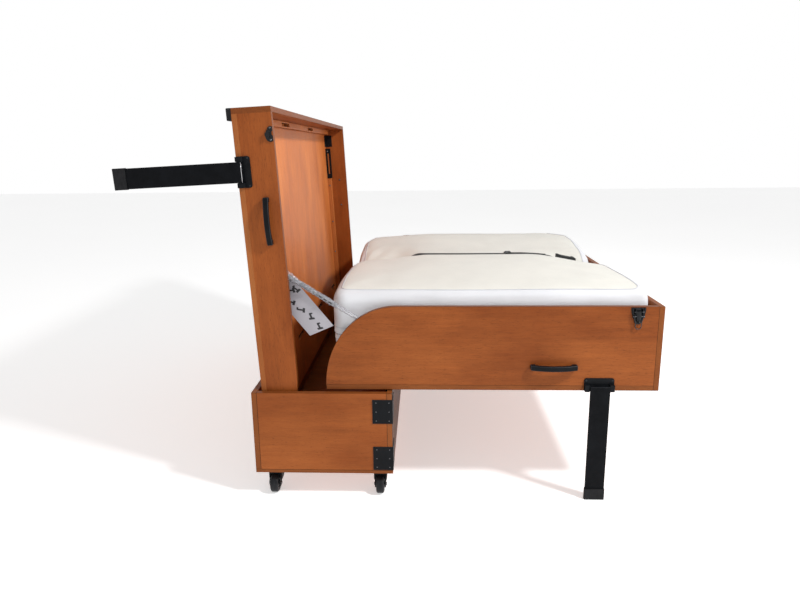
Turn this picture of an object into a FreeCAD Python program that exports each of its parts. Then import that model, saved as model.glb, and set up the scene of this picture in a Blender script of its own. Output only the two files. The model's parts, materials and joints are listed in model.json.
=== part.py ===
"""Folding cabinet bed: two hinged shells on a wheeled trunk base, with a folded mattress.

+X runs from the upright shell towards the lowered one, +Y across the bed, away from the
near side, and +Z is up.  The floor is Z = 0 and the origin is the middle of the footprint.
Pieces are first placed about the middle of the base, with the left shell upright; the left
shell is then leaned back about its hinge and everything is moved along X to the origin.
"""
import FreeCAD, Part
import os
import re
from types import SimpleNamespace
from FreeCAD import Placement, Rotation, Vector

# ---------------------------------------------------------------- driving dimensions (mm, degrees)
DIMENSIONS = dict(
    board=17,                # thickness of every plywood board
    shell_width=1570,        # outside width of both shells, along Y
    shell_head=865,          # hinge axis to the head end of a shell
    shell_tail=177,          # hinge axis to the tail end of a shell
    right_depth=272,         # outside depth of the lowered shell
    left_depth=118,          # outside depth of the upright shell
    curve_run=225,           # length of the quarter ellipse at the tail of a side board
    axis_inset=5,            # hinge axis above the outer face of a shell
    axis_reach=191,          # hinge axis from the middle of the base
    axis_height=370,         # hinge axis above the floor
    lean=2.6,                # how far the upright shell leans back, degrees
    base_length=448,         # trunk base, along X
    base_height=277,         # trunk base, without its casters
    base_gap=6,              # between a shell's side and the inside of the base
    floor_panel=12,          # thickness of the base's floor panel
    caster_height=84,        # floor to the underside of the base
    hinge_width=100,         # length of one hinge along its pin
    hinge_pin=5,             # radius of the hinge pin
    hinge_barrel=8,          # radius of the hinge knuckles
    hinge_leaf=70,           # reach of a hinge leaf
    hinge_sheet=3,           # thickness of a shell's hinge leaf
    window_run=19,           # hole in a shell's panel round one hinge barrel
    running=0.05,            # radial clearance of a turning fit
    wheel_radius=30,
    wheel_width=26,
    fork_sheet=4,
    kingpin=5,
    axle=4,
    caster_trail=25,         # swivel axis to wheel axle
    batten=20,               # side of the corner battens
    handle_length=144,
    handle_grip=16,          # height of a handle's bar
    handle_out=28,           # how far a handle stands out
    leg_width=61,
    leg_sheet=6,
    leg_rise=19,             # leg above the shell's outer face
    leg_pin=3,
    cap_width=64,
    cap_thick=13,
    cap_height=37,
    bracket_width=93,
    bracket_height=40,
    bracket_sheet=3,
    ear_width=14,
    latch_width=46,
    latch_height=51,
    latch_sheet=2,
    latch_pin=2,
    lever_width=15,
    lever_thick=4,
    wire=1.5,                # radius of the bail wire
    bail_span=26,            # between the two bail wires
    bail_drop=39.5,
    keeper_depth=26,
    keeper_height=48,
    mattress_length=1009,
    mattress_width=1496,     # lower layer, clear of the gas strut
    mattress_top_width=1490, # upper layer
    layer=148,               # thickness of the lower layer
    mattress_height=320,
    mattress_corner=50,      # rounding of the mattress's upright edges
    mattress_edge=45,        # rounding along its top
    valley_width=160,        # where the strap pulls the mattress down
    valley_depth=46,
    strap_width=40,
    strap_sheet=2.5,
    buckle_length=30,
    buckle_width=46,
    buckle_thick=9,
    strut_radius=7.5,
    strut_rod=4,
    strut_tube=200,
    strut_eye=8,
    strut_eye_width=12,
    stud_plate=30,
    card_width=88,
    card_length=205,
    card_thick=0.8,
    plate_sheet=2,           # corner plates of the base
    plate_size=63,
    plate_height=81,
    screw_head=4,
    bumper_height=36,
    bumper_thick=14,
    bumper_width=60,
)
v = SimpleNamespace(**DIMENSIONS)

doc = FreeCAD.newDocument("folding_cabinet_bed")
sheet = doc.addObject("Spreadsheet::Sheet", "dims")
for row, (alias, value) in enumerate(DIMENSIONS.items(), start=1):
    sheet.set(f"A{row}", alias)
    sheet.set(f"B{row}", str(value))
    sheet.setAlias(f"B{row}", alias)
doc.recompute()

# ---------------------------------------------------------------- places worked out from the dimensions
BASE_TOP = v.caster_height + v.base_height
BASE_HALF = v.base_length / 2
BASE_SIDE = v.shell_width / 2 + v.base_gap + v.board      # outer face of the base's end boards
SIDE = v.shell_width / 2                                  # outer face of a shell's side boards
INNER = SIDE - v.board
RIGHT_TAIL = v.axis_reach - v.shell_tail
RIGHT_HEAD = v.axis_reach + v.shell_head
BED_BOTTOM = v.axis_height - v.axis_inset
BED_FLOOR = BED_BOTTOM + v.board
LEFT_BACK = -v.axis_reach - v.axis_inset
LEFT_INNER = LEFT_BACK + v.board
LEFT_TAIL = v.axis_height - v.shell_tail
LEFT_HEAD = v.axis_height + v.shell_head
HINGE_PLACES = (-640, -230, 230, 640)                     # hinge centres along Y
CASTER_X = (-170, 180)                                    # swivel axes
CASTER_Y = 752
HANDLE_ALONG, HANDLE_UP = 537, 79                         # from the hinge axis, from the outer face
LEG_ALONG = 680
LATCH_ALONG, LATCH_UP = 785, 235
LATCH_PIN_OUT, LEVER_PIN_UP, BAIL_PIN_UP = 6.5, 22, 8     # from the latch's station
LEG_PIN_UP, LEG_PIN_OUT = 5, 9
LEG_FACE = 14.5                                           # inner face of a leg, out from the board
STRUT_Y = 757                                             # strut axis from the middle of the bed
LEFT_STUD = (83.3, 372)                                   # from the left hinge axis, shell upright
RIGHT_STUD = (-51.6, 207)                                 # from the right hinge axis
BUCKLE_X = 690
CLEAR = 0.5                                               # gap beside a piece that only slides past

LEFT_AXIS = Vector(-v.axis_reach, 0, v.axis_height)
RIGHT_AXIS = Vector(v.axis_reach, 0, v.axis_height)
LEAN = Placement(Vector(), Rotation(Vector(0, -1, 0), v.lean), LEFT_AXIS)
UP, ALONG_X, ACROSS = Vector(0, 0, 1), Vector(1, 0, 0), Vector(0, 1, 0)
UPRIGHT_STUD = LEFT_AXIS + Vector(LEFT_STUD[0], 0, LEFT_STUD[1])
LEFT_STUD_PLACE = LEAN.multVec(UPRIGHT_STUD)
RIGHT_STUD_PLACE = RIGHT_AXIS + Vector(RIGHT_STUD[0], 0, RIGHT_STUD[1])

kept = {}


# ---------------------------------------------------------------- small helpers
def cells(text):
    """An expression in the sheet's aliases, as FreeCAD wants it."""
    return re.sub(r"[a-z_]+", lambda word: "dims." + word.group(), text)


def box(size, corner, name="block"):
    """A box with its lowest corner at corner; its three sizes are expressions."""
    piece = doc.addObject("Part::Box", name)
    for side, text in zip(("Length", "Width", "Height"), size):
        piece.setExpression(side, cells(text))
    piece.Placement.Base = Vector(*corner)
    return piece


def cylinder(radius, length, start, along=UP, name="round"):
    """A cylinder from start along a direction; radius and length are expressions."""
    piece = doc.addObject("Part::Cylinder", name)
    piece.setExpression("Radius", cells(radius))
    piece.setExpression("Height", cells(length))
    piece.Placement = Placement(Vector(*start), Rotation(UP, along))
    return piece


def cut(base, *tools):
    """base without every tool."""
    for tool in tools:
        piece = doc.addObject("Part::Cut", "cut")
        piece.Base = base
        piece.Tool = tool
        base = piece
    return base


def fuse(*pieces):
    """The pieces as one solid."""
    piece = doc.addObject("Part::MultiFuse", "fuse")
    piece.Shapes = list(pieces)
    piece.Refine = True
    return piece


def group(pieces):
    """Separate solids that share one node."""
    piece = doc.addObject("Part::Compound", "group")
    piece.Links = list(pieces)
    return piece


def rounded(base, radius, direction, pick=lambda edge: True):
    """base with the straight edges along one direction rounded."""
    doc.recompute()
    piece = doc.addObject("Part::Fillet", "rounded")
    piece.Base = base
    edges = [(index, radius, radius) for index, edge in enumerate(base.Shape.Edges, start=1)
             if edge.Curve.TypeId == "Part::GeomLine"
             and abs(edge.tangentAt(edge.FirstParameter).dot(direction)) > 0.999 and pick(edge)]
    piece.Edges = edges
    return piece


def keep(label, piece):
    """piece is a sub-part of its own, and label names its file."""
    piece.Label = label
    kept[label] = piece
    return piece


def moved(piece, place):
    """piece carried by a placement, on top of its own."""
    piece.Placement = place.multiply(piece.Placement)
    return piece


def station(shell, side, along, up, out=0):
    """The frame of a fitting on the outside of a shell's side board.

    Its X runs along the shell, -Y points out of the board and Z from the outer face
    towards the rim.  side is -1 on the near side and +1 on the far side.
    """
    turn = Rotation(UP, 0 if side < 0 else 180)
    across = side * (SIDE + out)
    if shell == "right":
        return Placement(Vector(v.axis_reach + along, across, BED_BOTTOM + up), turn)
    upright = Rotation(ACROSS, 90)
    return Placement(Vector(LEFT_BACK + up, across, v.axis_height + along), upright.multiply(turn))


SIDES = (("near", -1), ("far", 1))


def across(side, inner, outer):
    """Lowest y of a piece that lies between two distances from the middle of the bed."""
    return inner if side > 0 else -outer


# ---------------------------------------------------------------- trunk base
def make_base():
    keep("base_floor", box(("base_length", "shell_width + 2 * (base_gap + board)", "floor_panel"),
                           (-BASE_HALF, -BASE_SIDE, v.caster_height)))
    wall_bottom = v.caster_height + v.floor_panel
    for label, corner_x in (("left", -BASE_HALF), ("right", BASE_HALF - v.board)):
        keep(f"base_{label}_wall",
             box(("board", "shell_width + 2 * (base_gap + board)", "base_height - floor_panel"),
                 (corner_x, -BASE_SIDE, wall_bottom)))
    for label, corner_y in (("near", -BASE_SIDE), ("far", BASE_SIDE - v.board)):
        keep(f"base_{label}_end",
             box(("base_length - 2 * board", "board", "base_height - floor_panel"),
                 (v.board - BASE_HALF, corner_y, wall_bottom)))


def make_corner_plates():
    """Steel angles round the base's right-hand corners, with two rows of screws in each face."""
    plates, screws = [], []
    for _, side in SIDES:
        for low in (BASE_TOP - 21 - v.plate_height, v.caster_height + 14):
            front = box(("plate_size + plate_sheet", "plate_sheet", "plate_height"),
                        (BASE_HALF - v.plate_size, across(side, BASE_SIDE, BASE_SIDE + v.plate_sheet), low))
            wrap = box(("plate_sheet", "plate_size", "plate_height"),
                       (BASE_HALF, across(side, BASE_SIDE - v.plate_size, BASE_SIDE), low))
            plates.append(fuse(front, wrap))
            for height in (10, v.plate_height / 2, v.plate_height - 10):
                for inset in (10, v.plate_size - 12):
                    on_front = (BASE_HALF - inset, side * (BASE_SIDE + v.plate_sheet), low + height)
                    screws.append(cylinder("screw_head", "1", on_front, Vector(0, side, 0)))
                    on_wrap = (BASE_HALF + v.plate_sheet, side * (BASE_SIDE - inset), low + height)
                    screws.append(cylinder("screw_head", "1", on_wrap, ALONG_X))
    keep("base_corner_plates", group(plates))
    keep("base_screws", group(screws))


# ---------------------------------------------------------------- hinges between the base and the shells
def make_hinges():
    """Butt hinges: the outer knuckles are the base bracket's, the middle one is the shell leaf's."""
    brackets, pins, leaves = [], [], {"left": [], "right": []}
    knuckle = v.hinge_width / 4
    shell_x = v.axis_inset + CLEAR                        # just outside a closed shell, from the axis
    wall_x = BASE_HALF - v.board - v.axis_reach           # inner face of the base's wall
    for shell, side in (("left", -1), ("right", 1)):
        for middle in HINGE_PLACES:
            place = Placement(Vector(v.axis_reach, middle, v.axis_height), Rotation())
            if side < 0:
                place = Placement(Vector(-v.axis_reach, middle, v.axis_height), Rotation(UP, 180))
            start = -v.hinge_width / 2
            plate = box((str(wall_x - shell_x), "hinge_width", "hinge_leaf - 12"),
                        (shell_x, start, -v.hinge_leaf))
            necks = [box(("hinge_sheet", "hinge_width / 4", "14"), (shell_x, offset, -14))
                     for offset in (start, -start - knuckle)]
            rings = [cylinder("hinge_barrel", "hinge_width / 4", (0, offset, 0), ACROSS)
                     for offset in (start, -start - knuckle)]
            hole = cylinder("hinge_pin", "hinge_width", (0, start, 0), ACROSS)
            brackets.append(moved(cut(fuse(plate, *necks, *rings), hole), place))
            pins.append(moved(cylinder("hinge_pin", "hinge_width", (0, start, 0), ACROSS), place))

            ring = cylinder("hinge_barrel", "hinge_width / 2 - 1", (0, CLEAR - knuckle, 0), ACROSS)
            neck = box(("12", "hinge_width / 2 - 1", "hinge_sheet"),
                       (0, CLEAR - knuckle, -v.hinge_barrel))
            leaf = box(("hinge_leaf - 12", "hinge_width", "hinge_sheet"), (12, start, -v.hinge_barrel))
            bore = cylinder("hinge_pin + running", "hinge_width", (0, start, 0), ACROSS)
            flap = cut(fuse(ring, neck, leaf), bore)
            if side < 0:
                flap.Placement = Placement(Vector(), Rotation(ACROSS, -90))
            leaves[shell].append(moved(flap, place))
    keep("hinge_base_brackets", group(brackets))
    keep("hinge_pins", group(pins))
    for shell in ("left", "right"):
        keep(f"{shell}_hinge_leaves", group(leaves[shell]))


# ---------------------------------------------------------------- casters
def make_casters():
    top_plates = []
    for end, side in SIDES:
        for hand, centre_x in zip(("left", "right"), CASTER_X):
            centre = Vector(centre_x, side * CASTER_Y, 0)
            place = Placement(centre, Rotation())
            crown_low, crown_high = 2 * v.wheel_radius + 8, v.caster_height - 4
            pad = rounded(box(("58", "58", "3"), (-29, -29, v.caster_height - 3)), 6, UP)
            kingpin = cylinder("kingpin", str(v.caster_height - 3 - crown_low),
                               (0, 0, crown_low))
            top_plates.append(moved(fuse(pad, kingpin), place))

            crown = cylinder("21.5", str(crown_high - crown_low), (0, 0, crown_low))
            bridge = box(("wheel_width + 3 + 2 * fork_sheet", "caster_trail + 16", "6"),
                         (-v.wheel_width / 2 - 1.5 - v.fork_sheet, -v.caster_trail - 8, crown_low - 6))
            cheeks = []
            for cheek_x in (-v.wheel_width / 2 - 1.5 - v.fork_sheet, v.wheel_width / 2 + 1.5):
                upper = box(("fork_sheet", "caster_trail + 16", "24"),
                            (cheek_x, -v.caster_trail - 8, crown_low - 24))
                lower = box(("fork_sheet", "24", str(crown_low - v.wheel_radius)),
                            (cheek_x, -v.caster_trail - 12, v.wheel_radius))
                tip = cylinder("12", "fork_sheet", (cheek_x, -v.caster_trail, v.wheel_radius), ALONG_X)
                cheeks += [upper, lower, tip]
            frame = fuse(crown, bridge, *cheeks)
            half = v.wheel_width / 2 + 1.5 + v.fork_sheet
            axle_start = (-half, -v.caster_trail, v.wheel_radius)
            frame = cut(frame,
                        cylinder("kingpin + running", "40", (0, 0, crown_low - 20)),
                        cylinder("axle", str(2 * half), axle_start, ALONG_X))
            axle = cylinder("axle", str(2 * half), axle_start, ALONG_X)
            keep(f"caster_fork_{end}_{hand}", moved(group([frame, axle]), place))

            rim_start = (-v.wheel_width / 2, -v.caster_trail, v.wheel_radius)
            tyre = cylinder("wheel_radius", "wheel_width", rim_start, ALONG_X)
            doc.recompute()
            wheel = doc.addObject("Part::Fillet", "wheel")
            wheel.Base = tyre
            wheel.Edges = [(index, 5, 5) for index, edge in enumerate(tyre.Shape.Edges, start=1)
                           if edge.Curve.TypeId == "Part::GeomCircle"]
            bore = cylinder("axle + running", "wheel_width", rim_start, ALONG_X)
            keep(f"caster_wheel_{end}_{hand}", moved(cut(wheel, bore), place))
    keep("caster_plates", group(top_plates))


# ---------------------------------------------------------------- shells
def curved_side(size, corner, run_along, depth):
    """A side board whose tail corner is a quarter ellipse.

    The board is drawn with its length along X and its depth along Z, tail at X = 0.
    """
    blank = box(size, (0, 0, 0))
    ellipse = doc.addObject("Part::Ellipse", "curve")
    ellipse.setExpression("MajorRadius", cells(max(run_along, depth, key=lambda pair: pair[1])[0]))
    ellipse.setExpression("MinorRadius", cells(min(run_along, depth, key=lambda pair: pair[1])[0]))
    drum = doc.addObject("Part::Extrusion", "drum")
    drum.Base = ellipse
    drum.DirMode = "Custom"
    drum.Dir = UP
    drum.setExpression("LengthFwd", cells("board"))
    drum.Solid = True
    turn = Rotation(ALONG_X, 90)
    if depth[1] > run_along[1]:
        turn = turn.multiply(Rotation(UP, 90))
    drum.Placement = Placement(Vector(v.curve_run, v.board, 0), turn)
    corner_block = box((run_along[0], "board", depth[0]), (0, 0, 0))
    board = cut(blank, cut(corner_block, drum))
    board.Placement.Base = Vector(*corner)
    return board


def make_right_shell():
    windows = [box(("window_run", "hinge_width + 4", "board"),
                   (v.axis_reach - v.window_run / 2, middle - v.hinge_width / 2 - 2, BED_BOTTOM))
               for middle in HINGE_PLACES]
    panel = box(("shell_head + shell_tail - board", "shell_width", "board"),
                (RIGHT_TAIL, -SIDE, BED_BOTTOM))
    keep("right_bottom_panel", cut(panel, *windows))
    keep("right_end_board", box(("board", "shell_width", "right_depth"),
                                (RIGHT_HEAD - v.board, -SIDE, BED_BOTTOM)))
    for end, corner_y in (("near", -SIDE), ("far", INNER)):
        keep(f"right_{end}_side",
             curved_side(("shell_head + shell_tail - board", "board", "right_depth - board"),
                         (RIGHT_TAIL, corner_y, BED_FLOOR),
                         ("curve_run", v.curve_run),
                         ("right_depth - board", v.right_depth - v.board)))


def make_left_shell():
    windows = [box(("board", "hinge_width + 4", "window_run"),
                   (LEFT_BACK, middle - v.hinge_width / 2 - 2, v.axis_height - v.window_run / 2))
               for middle in HINGE_PLACES]
    panel = box(("board", "shell_width", "shell_head + shell_tail - board"),
                (LEFT_BACK, -SIDE, LEFT_TAIL))
    keep("left_back_panel", cut(panel, *windows))
    keep("left_top_board", box(("left_depth", "shell_width", "board"),
                               (LEFT_BACK, -SIDE, LEFT_HEAD - v.board)))
    stand_up = Rotation(ACROSS, -90).multiply(Rotation(ALONG_X, 180))
    for end, corner_y in (("near", -SIDE), ("far", INNER)):
        side_board = curved_side(("shell_head + shell_tail - board", "board", "left_depth - board"),
                                 (0, -v.board, 0),
                                 ("curve_run", v.curve_run),
                                 ("left_depth - board", v.left_depth - v.board))
        keep(f"left_{end}_side",
             moved(side_board, Placement(Vector(LEFT_INNER, corner_y, LEFT_TAIL), stand_up)))

    batten_top = LEFT_HEAD - 115
    battens = [box(("batten", "batten", str(batten_top - LEFT_TAIL - 120)),
                   (LEFT_INNER, corner_y, LEFT_TAIL + 120))
               for corner_y in (-INNER, INNER - v.batten)]
    rail_low = LEFT_HEAD - v.board - 23
    rail = box(("batten", "shell_width - 2 * board", "23"), (LEFT_INNER, -INNER, rail_low))
    notches = [box(("batten", "125", "13"), (LEFT_INNER, middle - 62.5, rail_low + 5))
               for middle in (-249, 249)]
    keep("left_battens", group(battens + [cut(rail, *notches)]))
    make_left_fittings(batten_top)


def make_left_fittings(batten_top):
    angles, bumpers, screws = [], [], []
    for _, side in SIDES:
        low = LEFT_HEAD - 105
        plate = box(("36", "2.5", "60"), (LEFT_INNER, across(side, INNER - 2.5, INNER), low))
        flange = box(("2.5", "28", "60"), (LEFT_INNER, across(side, INNER - 28, INNER), low))
        angles.append(fuse(plate, flange))
        bumper = box(("bumper_thick", "bumper_width", "bumper_height"),
                     (LEFT_BACK - v.bumper_thick, across(side, SIDE - v.bumper_width, SIDE),
                      LEFT_HEAD - v.bumper_height))
        bumpers.append(rounded(bumper, 3, ACROSS, lambda edge: edge.BoundBox.XMax < LEFT_BACK - 1))
        face = INNER - v.batten
        for height in (batten_top - 200, batten_top - 400, batten_top - 570):
            screws.append(cylinder("screw_head", "1", (LEFT_INNER + v.batten / 2, side * face, height),
                                   Vector(0, -side, 0)))
        for offset in (-69, 69):
            screws.append(cylinder("screw_head + 1", "2.5",
                                   (LEFT_BACK + HANDLE_UP, side * INNER,
                                    v.axis_height + handle_along("left", side) + offset),
                                   Vector(0, -side, 0)))
    keep("left_corner_brackets", group(angles))
    keep("left_bumpers", group(bumpers))
    keep("left_screws", group(screws))


# ---------------------------------------------------------------- fittings on the side boards
def handle_along(shell, side):
    """Middle of a handle: the upright shell's are set a little lower, its far one most."""
    if shell == "right":
        return HANDLE_ALONG
    return HANDLE_ALONG - (28 if side > 0 else 6)


def make_handles():
    for shell in ("left", "right"):
        bars = []
        for _, side in SIDES:
            half, foot = v.handle_length / 2, 16
            outline = [Vector(-half, 0, 0), Vector(-half, -15, 0), Vector(half, -15, 0),
                       Vector(half, 0, 0), Vector(half - foot, 0, 0), Vector(half - foot, -8, 0),
                       Vector(foot - half, -8, 0), Vector(foot - half, 0, 0)]
            outer = Part.Arc(outline[1], Vector(0, -v.handle_out, 0), outline[2]).toShape()
            inner = Part.Arc(outline[5], Vector(0, 12 - v.handle_out, 0), outline[6]).toShape()
            lines = [Part.makeLine(outline[a], outline[b])
                     for a, b in ((0, 1), (2, 3), (3, 4), (4, 5), (6, 7), (7, 0))]
            wire = Part.Wire(Part.__sortEdges__([outer, inner] + lines))
            bar = doc.addObject("Part::Feature", "handle")
            bar.Shape = Part.Face(wire).extrude(Vector(0, 0, v.handle_grip))
            bar.Placement = station(shell, side, handle_along(shell, side), HANDLE_UP).multiply(
                Placement(Vector(0, 0, -v.handle_grip / 2), Rotation()))
            bars.append(bar)
        keep(f"{shell}_handles", group(bars))


def leg_bracket(shell, side):
    """Back plate, two ears, a stop behind the leg's upper end, and the leg's pin."""
    half = v.bracket_width / 2
    plate = box(("bracket_width", "bracket_sheet", "bracket_height"), (-half, -v.bracket_sheet, 2))
    plate = rounded(plate, 8, ACROSS, lambda edge: edge.BoundBox.ZMax > v.bracket_height)
    ear_inner = v.leg_width / 2 + 1
    ears = [box(("ear_width", "12", "22"), (corner, -v.bracket_sheet - 12, 1))
            for corner in (-ear_inner - v.ear_width, ear_inner)]
    stop = box(("leg_width + 2", "11", "6"), (-ear_inner, -v.bracket_sheet - 11, 12))
    pin_length = v.leg_width + 2 + 2 * v.ear_width
    pin_start = (-pin_length / 2, -LEG_PIN_OUT, LEG_PIN_UP)
    hole = cylinder("leg_pin", str(pin_length), pin_start, ALONG_X)
    frame = cut(fuse(plate, stop, *ears), hole)
    pin = cylinder("leg_pin", str(pin_length), pin_start, ALONG_X)
    return moved(group([frame, pin]), station(shell, side, LEG_ALONG, 0))


def make_legs():
    for shell in ("left", "right"):
        brackets = [leg_bracket(shell, side) for _, side in SIDES]
        if shell == "left":
            for _, side in SIDES:
                corner_y = across(side, INNER - v.batten - v.bracket_sheet, INNER - v.batten)
                back = box(("28", "bracket_sheet", "160"),
                           (LEFT_INNER, corner_y, v.axis_height + LEG_ALONG - 90))
                slot = box(("8", "bracket_sheet", "110"),
                           (LEFT_INNER + 10, corner_y, v.axis_height + LEG_ALONG - 65))
                brackets.append(cut(back, slot))
        keep(f"{shell}_leg_brackets", group(brackets))
        for end, side in SIDES:
            place = station(shell, side, LEG_ALONG, 0)
            socket = 17
            bottom = -BED_BOTTOM + v.cap_height - socket
            strap = box(("leg_width", "leg_sheet", str(v.leg_rise - bottom)),
                        (-v.leg_width / 2, -LEG_FACE - v.leg_sheet, bottom))
            web = box(("40", str(LEG_FACE - LEG_PIN_OUT), "8"), (-20, -LEG_FACE, LEG_PIN_UP - 4))
            knuckle = cylinder("5", "40", (-20, -LEG_PIN_OUT, LEG_PIN_UP), ALONG_X)
            bore = cylinder("leg_pin + running", "40", (-20, -LEG_PIN_OUT, LEG_PIN_UP), ALONG_X)
            keep(f"{shell}_leg_{end}", moved(cut(fuse(strap, web, knuckle), bore), place))

            cap_y = -LEG_FACE - v.leg_sheet / 2 - v.cap_thick / 2
            cap = rounded(box(("cap_width", "cap_thick", "cap_height"),
                              (-v.cap_width / 2, cap_y, -BED_BOTTOM)), 3, UP)
            pocket = box(("leg_width", "leg_sheet", str(socket)),
                         (-v.leg_width / 2, -LEG_FACE - v.leg_sheet, bottom))
            keep(f"{shell}_foot_cap_{end}", moved(cut(cap, pocket), place))


def make_latches():
    """Draw latches near the lowered shell's rim, and their keepers on the upright shell."""
    pin_y = -LATCH_PIN_OUT
    tip_z = BAIL_PIN_UP - v.bail_drop
    plates, keepers = [], []
    for end, side in SIDES:
        place = station("right", side, LATCH_ALONG, LATCH_UP)
        plate = box(("latch_width", "latch_sheet", "latch_height"),
                    (-v.latch_width / 2, -v.latch_sheet, -16))
        plate = rounded(plate, 12, ACROSS, lambda edge: edge.BoundBox.ZMax < 0)
        ears = [box(("2", "9", "16"), (corner, -v.latch_sheet - 9, LEVER_PIN_UP - 8))
                for corner in (-10.5, 8.5)]
        hole = cylinder("latch_pin", "21", (-10.5, pin_y, LEVER_PIN_UP), ALONG_X)
        pin = cylinder("latch_pin", "21", (-10.5, pin_y, LEVER_PIN_UP), ALONG_X)
        plates.append(moved(group([cut(fuse(plate, *ears), hole), pin]), place))

        half = v.lever_width / 2
        blade = box(("lever_width", "lever_thick", "37.5"), (-half, pin_y - v.lever_thick / 2, -12))
        tip = box(("lever_width", "4", "3"), (-half, pin_y - v.lever_thick / 2 - 4, -12))
        bore = cylinder("latch_pin + running", "lever_width", (-half, pin_y, LEVER_PIN_UP), ALONG_X)
        cross_hole = cylinder("wire", "lever_width", (-half, pin_y, BAIL_PIN_UP), ALONG_X)
        cross_pin = cylinder("wire", "bail_span + 5", (-v.bail_span / 2 - 2.5, pin_y, BAIL_PIN_UP), ALONG_X)
        keep(f"latch_lever_{end}",
             moved(group([cut(fuse(blade, tip), bore, cross_hole), cross_pin]), place))

        legs, eyes = [], []
        for wire_x in (-v.bail_span / 2, v.bail_span / 2):
            legs.append(cylinder("wire", "bail_drop", (wire_x, pin_y, tip_z)))
            eyes.append(cylinder("3.5", "3", (wire_x - 1.5, pin_y, BAIL_PIN_UP), ALONG_X))
        bar = cylinder("wire", "bail_span", (-v.bail_span / 2, pin_y, tip_z), ALONG_X)
        ends = [doc.addObject("Part::Sphere", "bend") for _ in legs]
        for ball, wire_x in zip(ends, (-v.bail_span / 2, v.bail_span / 2)):
            ball.setExpression("Radius", cells("wire"))
            ball.Placement.Base = Vector(wire_x, pin_y, tip_z)
        eye_bore = cylinder("wire + running", "bail_span + 6",
                            (-v.bail_span / 2 - 3, pin_y, BAIL_PIN_UP), ALONG_X)
        keep(f"latch_bail_{end}", moved(cut(fuse(bar, *legs, *eyes, *ends), eye_bore), place))

        catch = station("left", side, LATCH_ALONG, v.left_depth - v.keeper_depth)
        base = box(("keeper_height", "2", "keeper_depth"), (-v.keeper_height / 2, -2, 0))
        base = rounded(base, 9, ACROSS, lambda edge: edge.BoundBox.ZMax < 1)
        hook = box(("24", "9", "3"), (-12, -11, v.keeper_depth - 13))
        lip = box(("24", "3", "7"), (-12, -11, v.keeper_depth - 17))
        keepers.append(moved(fuse(base, hook, lip), catch))
    keep("latch_plates", group(plates))
    keep("latch_keepers", group(keepers))


# ---------------------------------------------------------------- mattress, strap and buckle
def make_mattress():
    low_x = RIGHT_TAIL + 12.5
    middle_z = BED_FLOOR + v.layer
    top = BED_FLOOR + v.mattress_height
    lower = rounded(box(("mattress_length", "mattress_width", "layer"),
                        (low_x, -v.mattress_width / 2, BED_FLOOR)),
                    v.mattress_corner, UP)
    upper = box(("mattress_length", "mattress_top_width", "mattress_height - layer"),
                (low_x, -v.mattress_top_width / 2, middle_z))
    upper = rounded(upper, v.mattress_corner, UP)
    upper = rounded(upper, v.mattress_edge, ACROSS, lambda edge: edge.BoundBox.ZMin > top - 1)
    valley = box(("mattress_length", "valley_width", "valley_depth"),
                 (low_x, -v.valley_width / 2, top - v.valley_depth))
    strap_top = top - v.valley_depth + v.strap_sheet
    channel = box(("mattress_length", "strap_width", "strap_sheet"),
                  (low_x, -v.strap_width / 2, BED_FLOOR))
    keep("mattress", cut(fuse(lower, upper), valley, channel))

    loop = box(("mattress_length + 2 * strap_sheet", "strap_width", str(strap_top - BED_FLOOR)),
               (low_x - v.strap_sheet, -v.strap_width / 2, BED_FLOOR))
    inside = box(("mattress_length", "strap_width", str(strap_top - BED_FLOOR - 2 * v.strap_sheet)),
                 (low_x, -v.strap_width / 2, BED_FLOOR + v.strap_sheet))
    keep("mattress_strap", cut(loop, inside))
    buckle = box(("buckle_length", "buckle_width", "buckle_thick"),
                 (BUCKLE_X - v.buckle_length / 2, -v.buckle_width / 2, strap_top))
    keep("strap_buckle", rounded(buckle, 4, UP))


# ---------------------------------------------------------------- gas strut and the card tied to it
def make_strut():
    """One gas strut, inside the near side boards, and the ball studs that it turns on."""
    reach = RIGHT_STUD_PLACE - LEFT_STUD_PLACE
    tilt = Rotation(ALONG_X, reach)
    eye_half = v.strut_eye_width / 2
    for label, centre, length in (("left_strut_stud", UPRIGHT_STUD, INNER - STRUT_Y + 7),
                                  ("right_strut_stud", RIGHT_STUD_PLACE, 4)):
        foot = centre + Vector(0, -INNER, 0)
        plate = box(("stud_plate", "2", "24"), (foot.x - v.stud_plate / 2, -INNER, foot.z - 12))
        keep(label, fuse(plate, cylinder("4", str(length), foot, ACROSS)))

    place = Placement(LEFT_STUD_PLACE + Vector(0, -STRUT_Y, 0), tilt)
    eye = cylinder("strut_eye", "strut_eye_width", (0, -eye_half, 0), ACROSS)
    tube = cylinder("strut_radius", "strut_tube", (10, 0, 0), ALONG_X)
    hollow = cylinder("strut_rod + running", "strut_tube - 12", (22, 0, 0), ALONG_X)
    stud_hole = cylinder("4 + running", "strut_eye_width", (0, -eye_half, 0), ACROSS)
    block = box(("10", "10", "12"), (3, -5, -6))
    keep("strut_cylinder", moved(cut(fuse(eye, block, tube), hollow, stud_hole), place))
    piston_rod = cylinder("strut_rod", str(reach.Length - 34), (30, 0, 0), ALONG_X)
    socket = cylinder("strut_eye", "strut_eye_width", (reach.Length, -eye_half, 0), ACROSS)
    keep("strut_rod", moved(fuse(piston_rod, socket), place))


def make_card():
    """A card tied to the strut, hanging at a slant beside the mattress."""
    card = box(("card_length", "card_thick", "card_width"), (0, 0, 0))
    lowest_corner = Vector(-38.6, -749.2, 526)
    turn = Rotation(ACROSS, 56)
    card.Placement = Placement(lowest_corner - turn.multVec(Vector(v.card_length, 0, 0)), turn)
    keep("instruction_card", card)


make_base()
make_corner_plates()
make_hinges()
make_casters()
make_right_shell()
make_left_shell()
make_handles()
make_legs()
make_latches()
make_mattress()
make_strut()
make_card()
doc.recompute()

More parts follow.
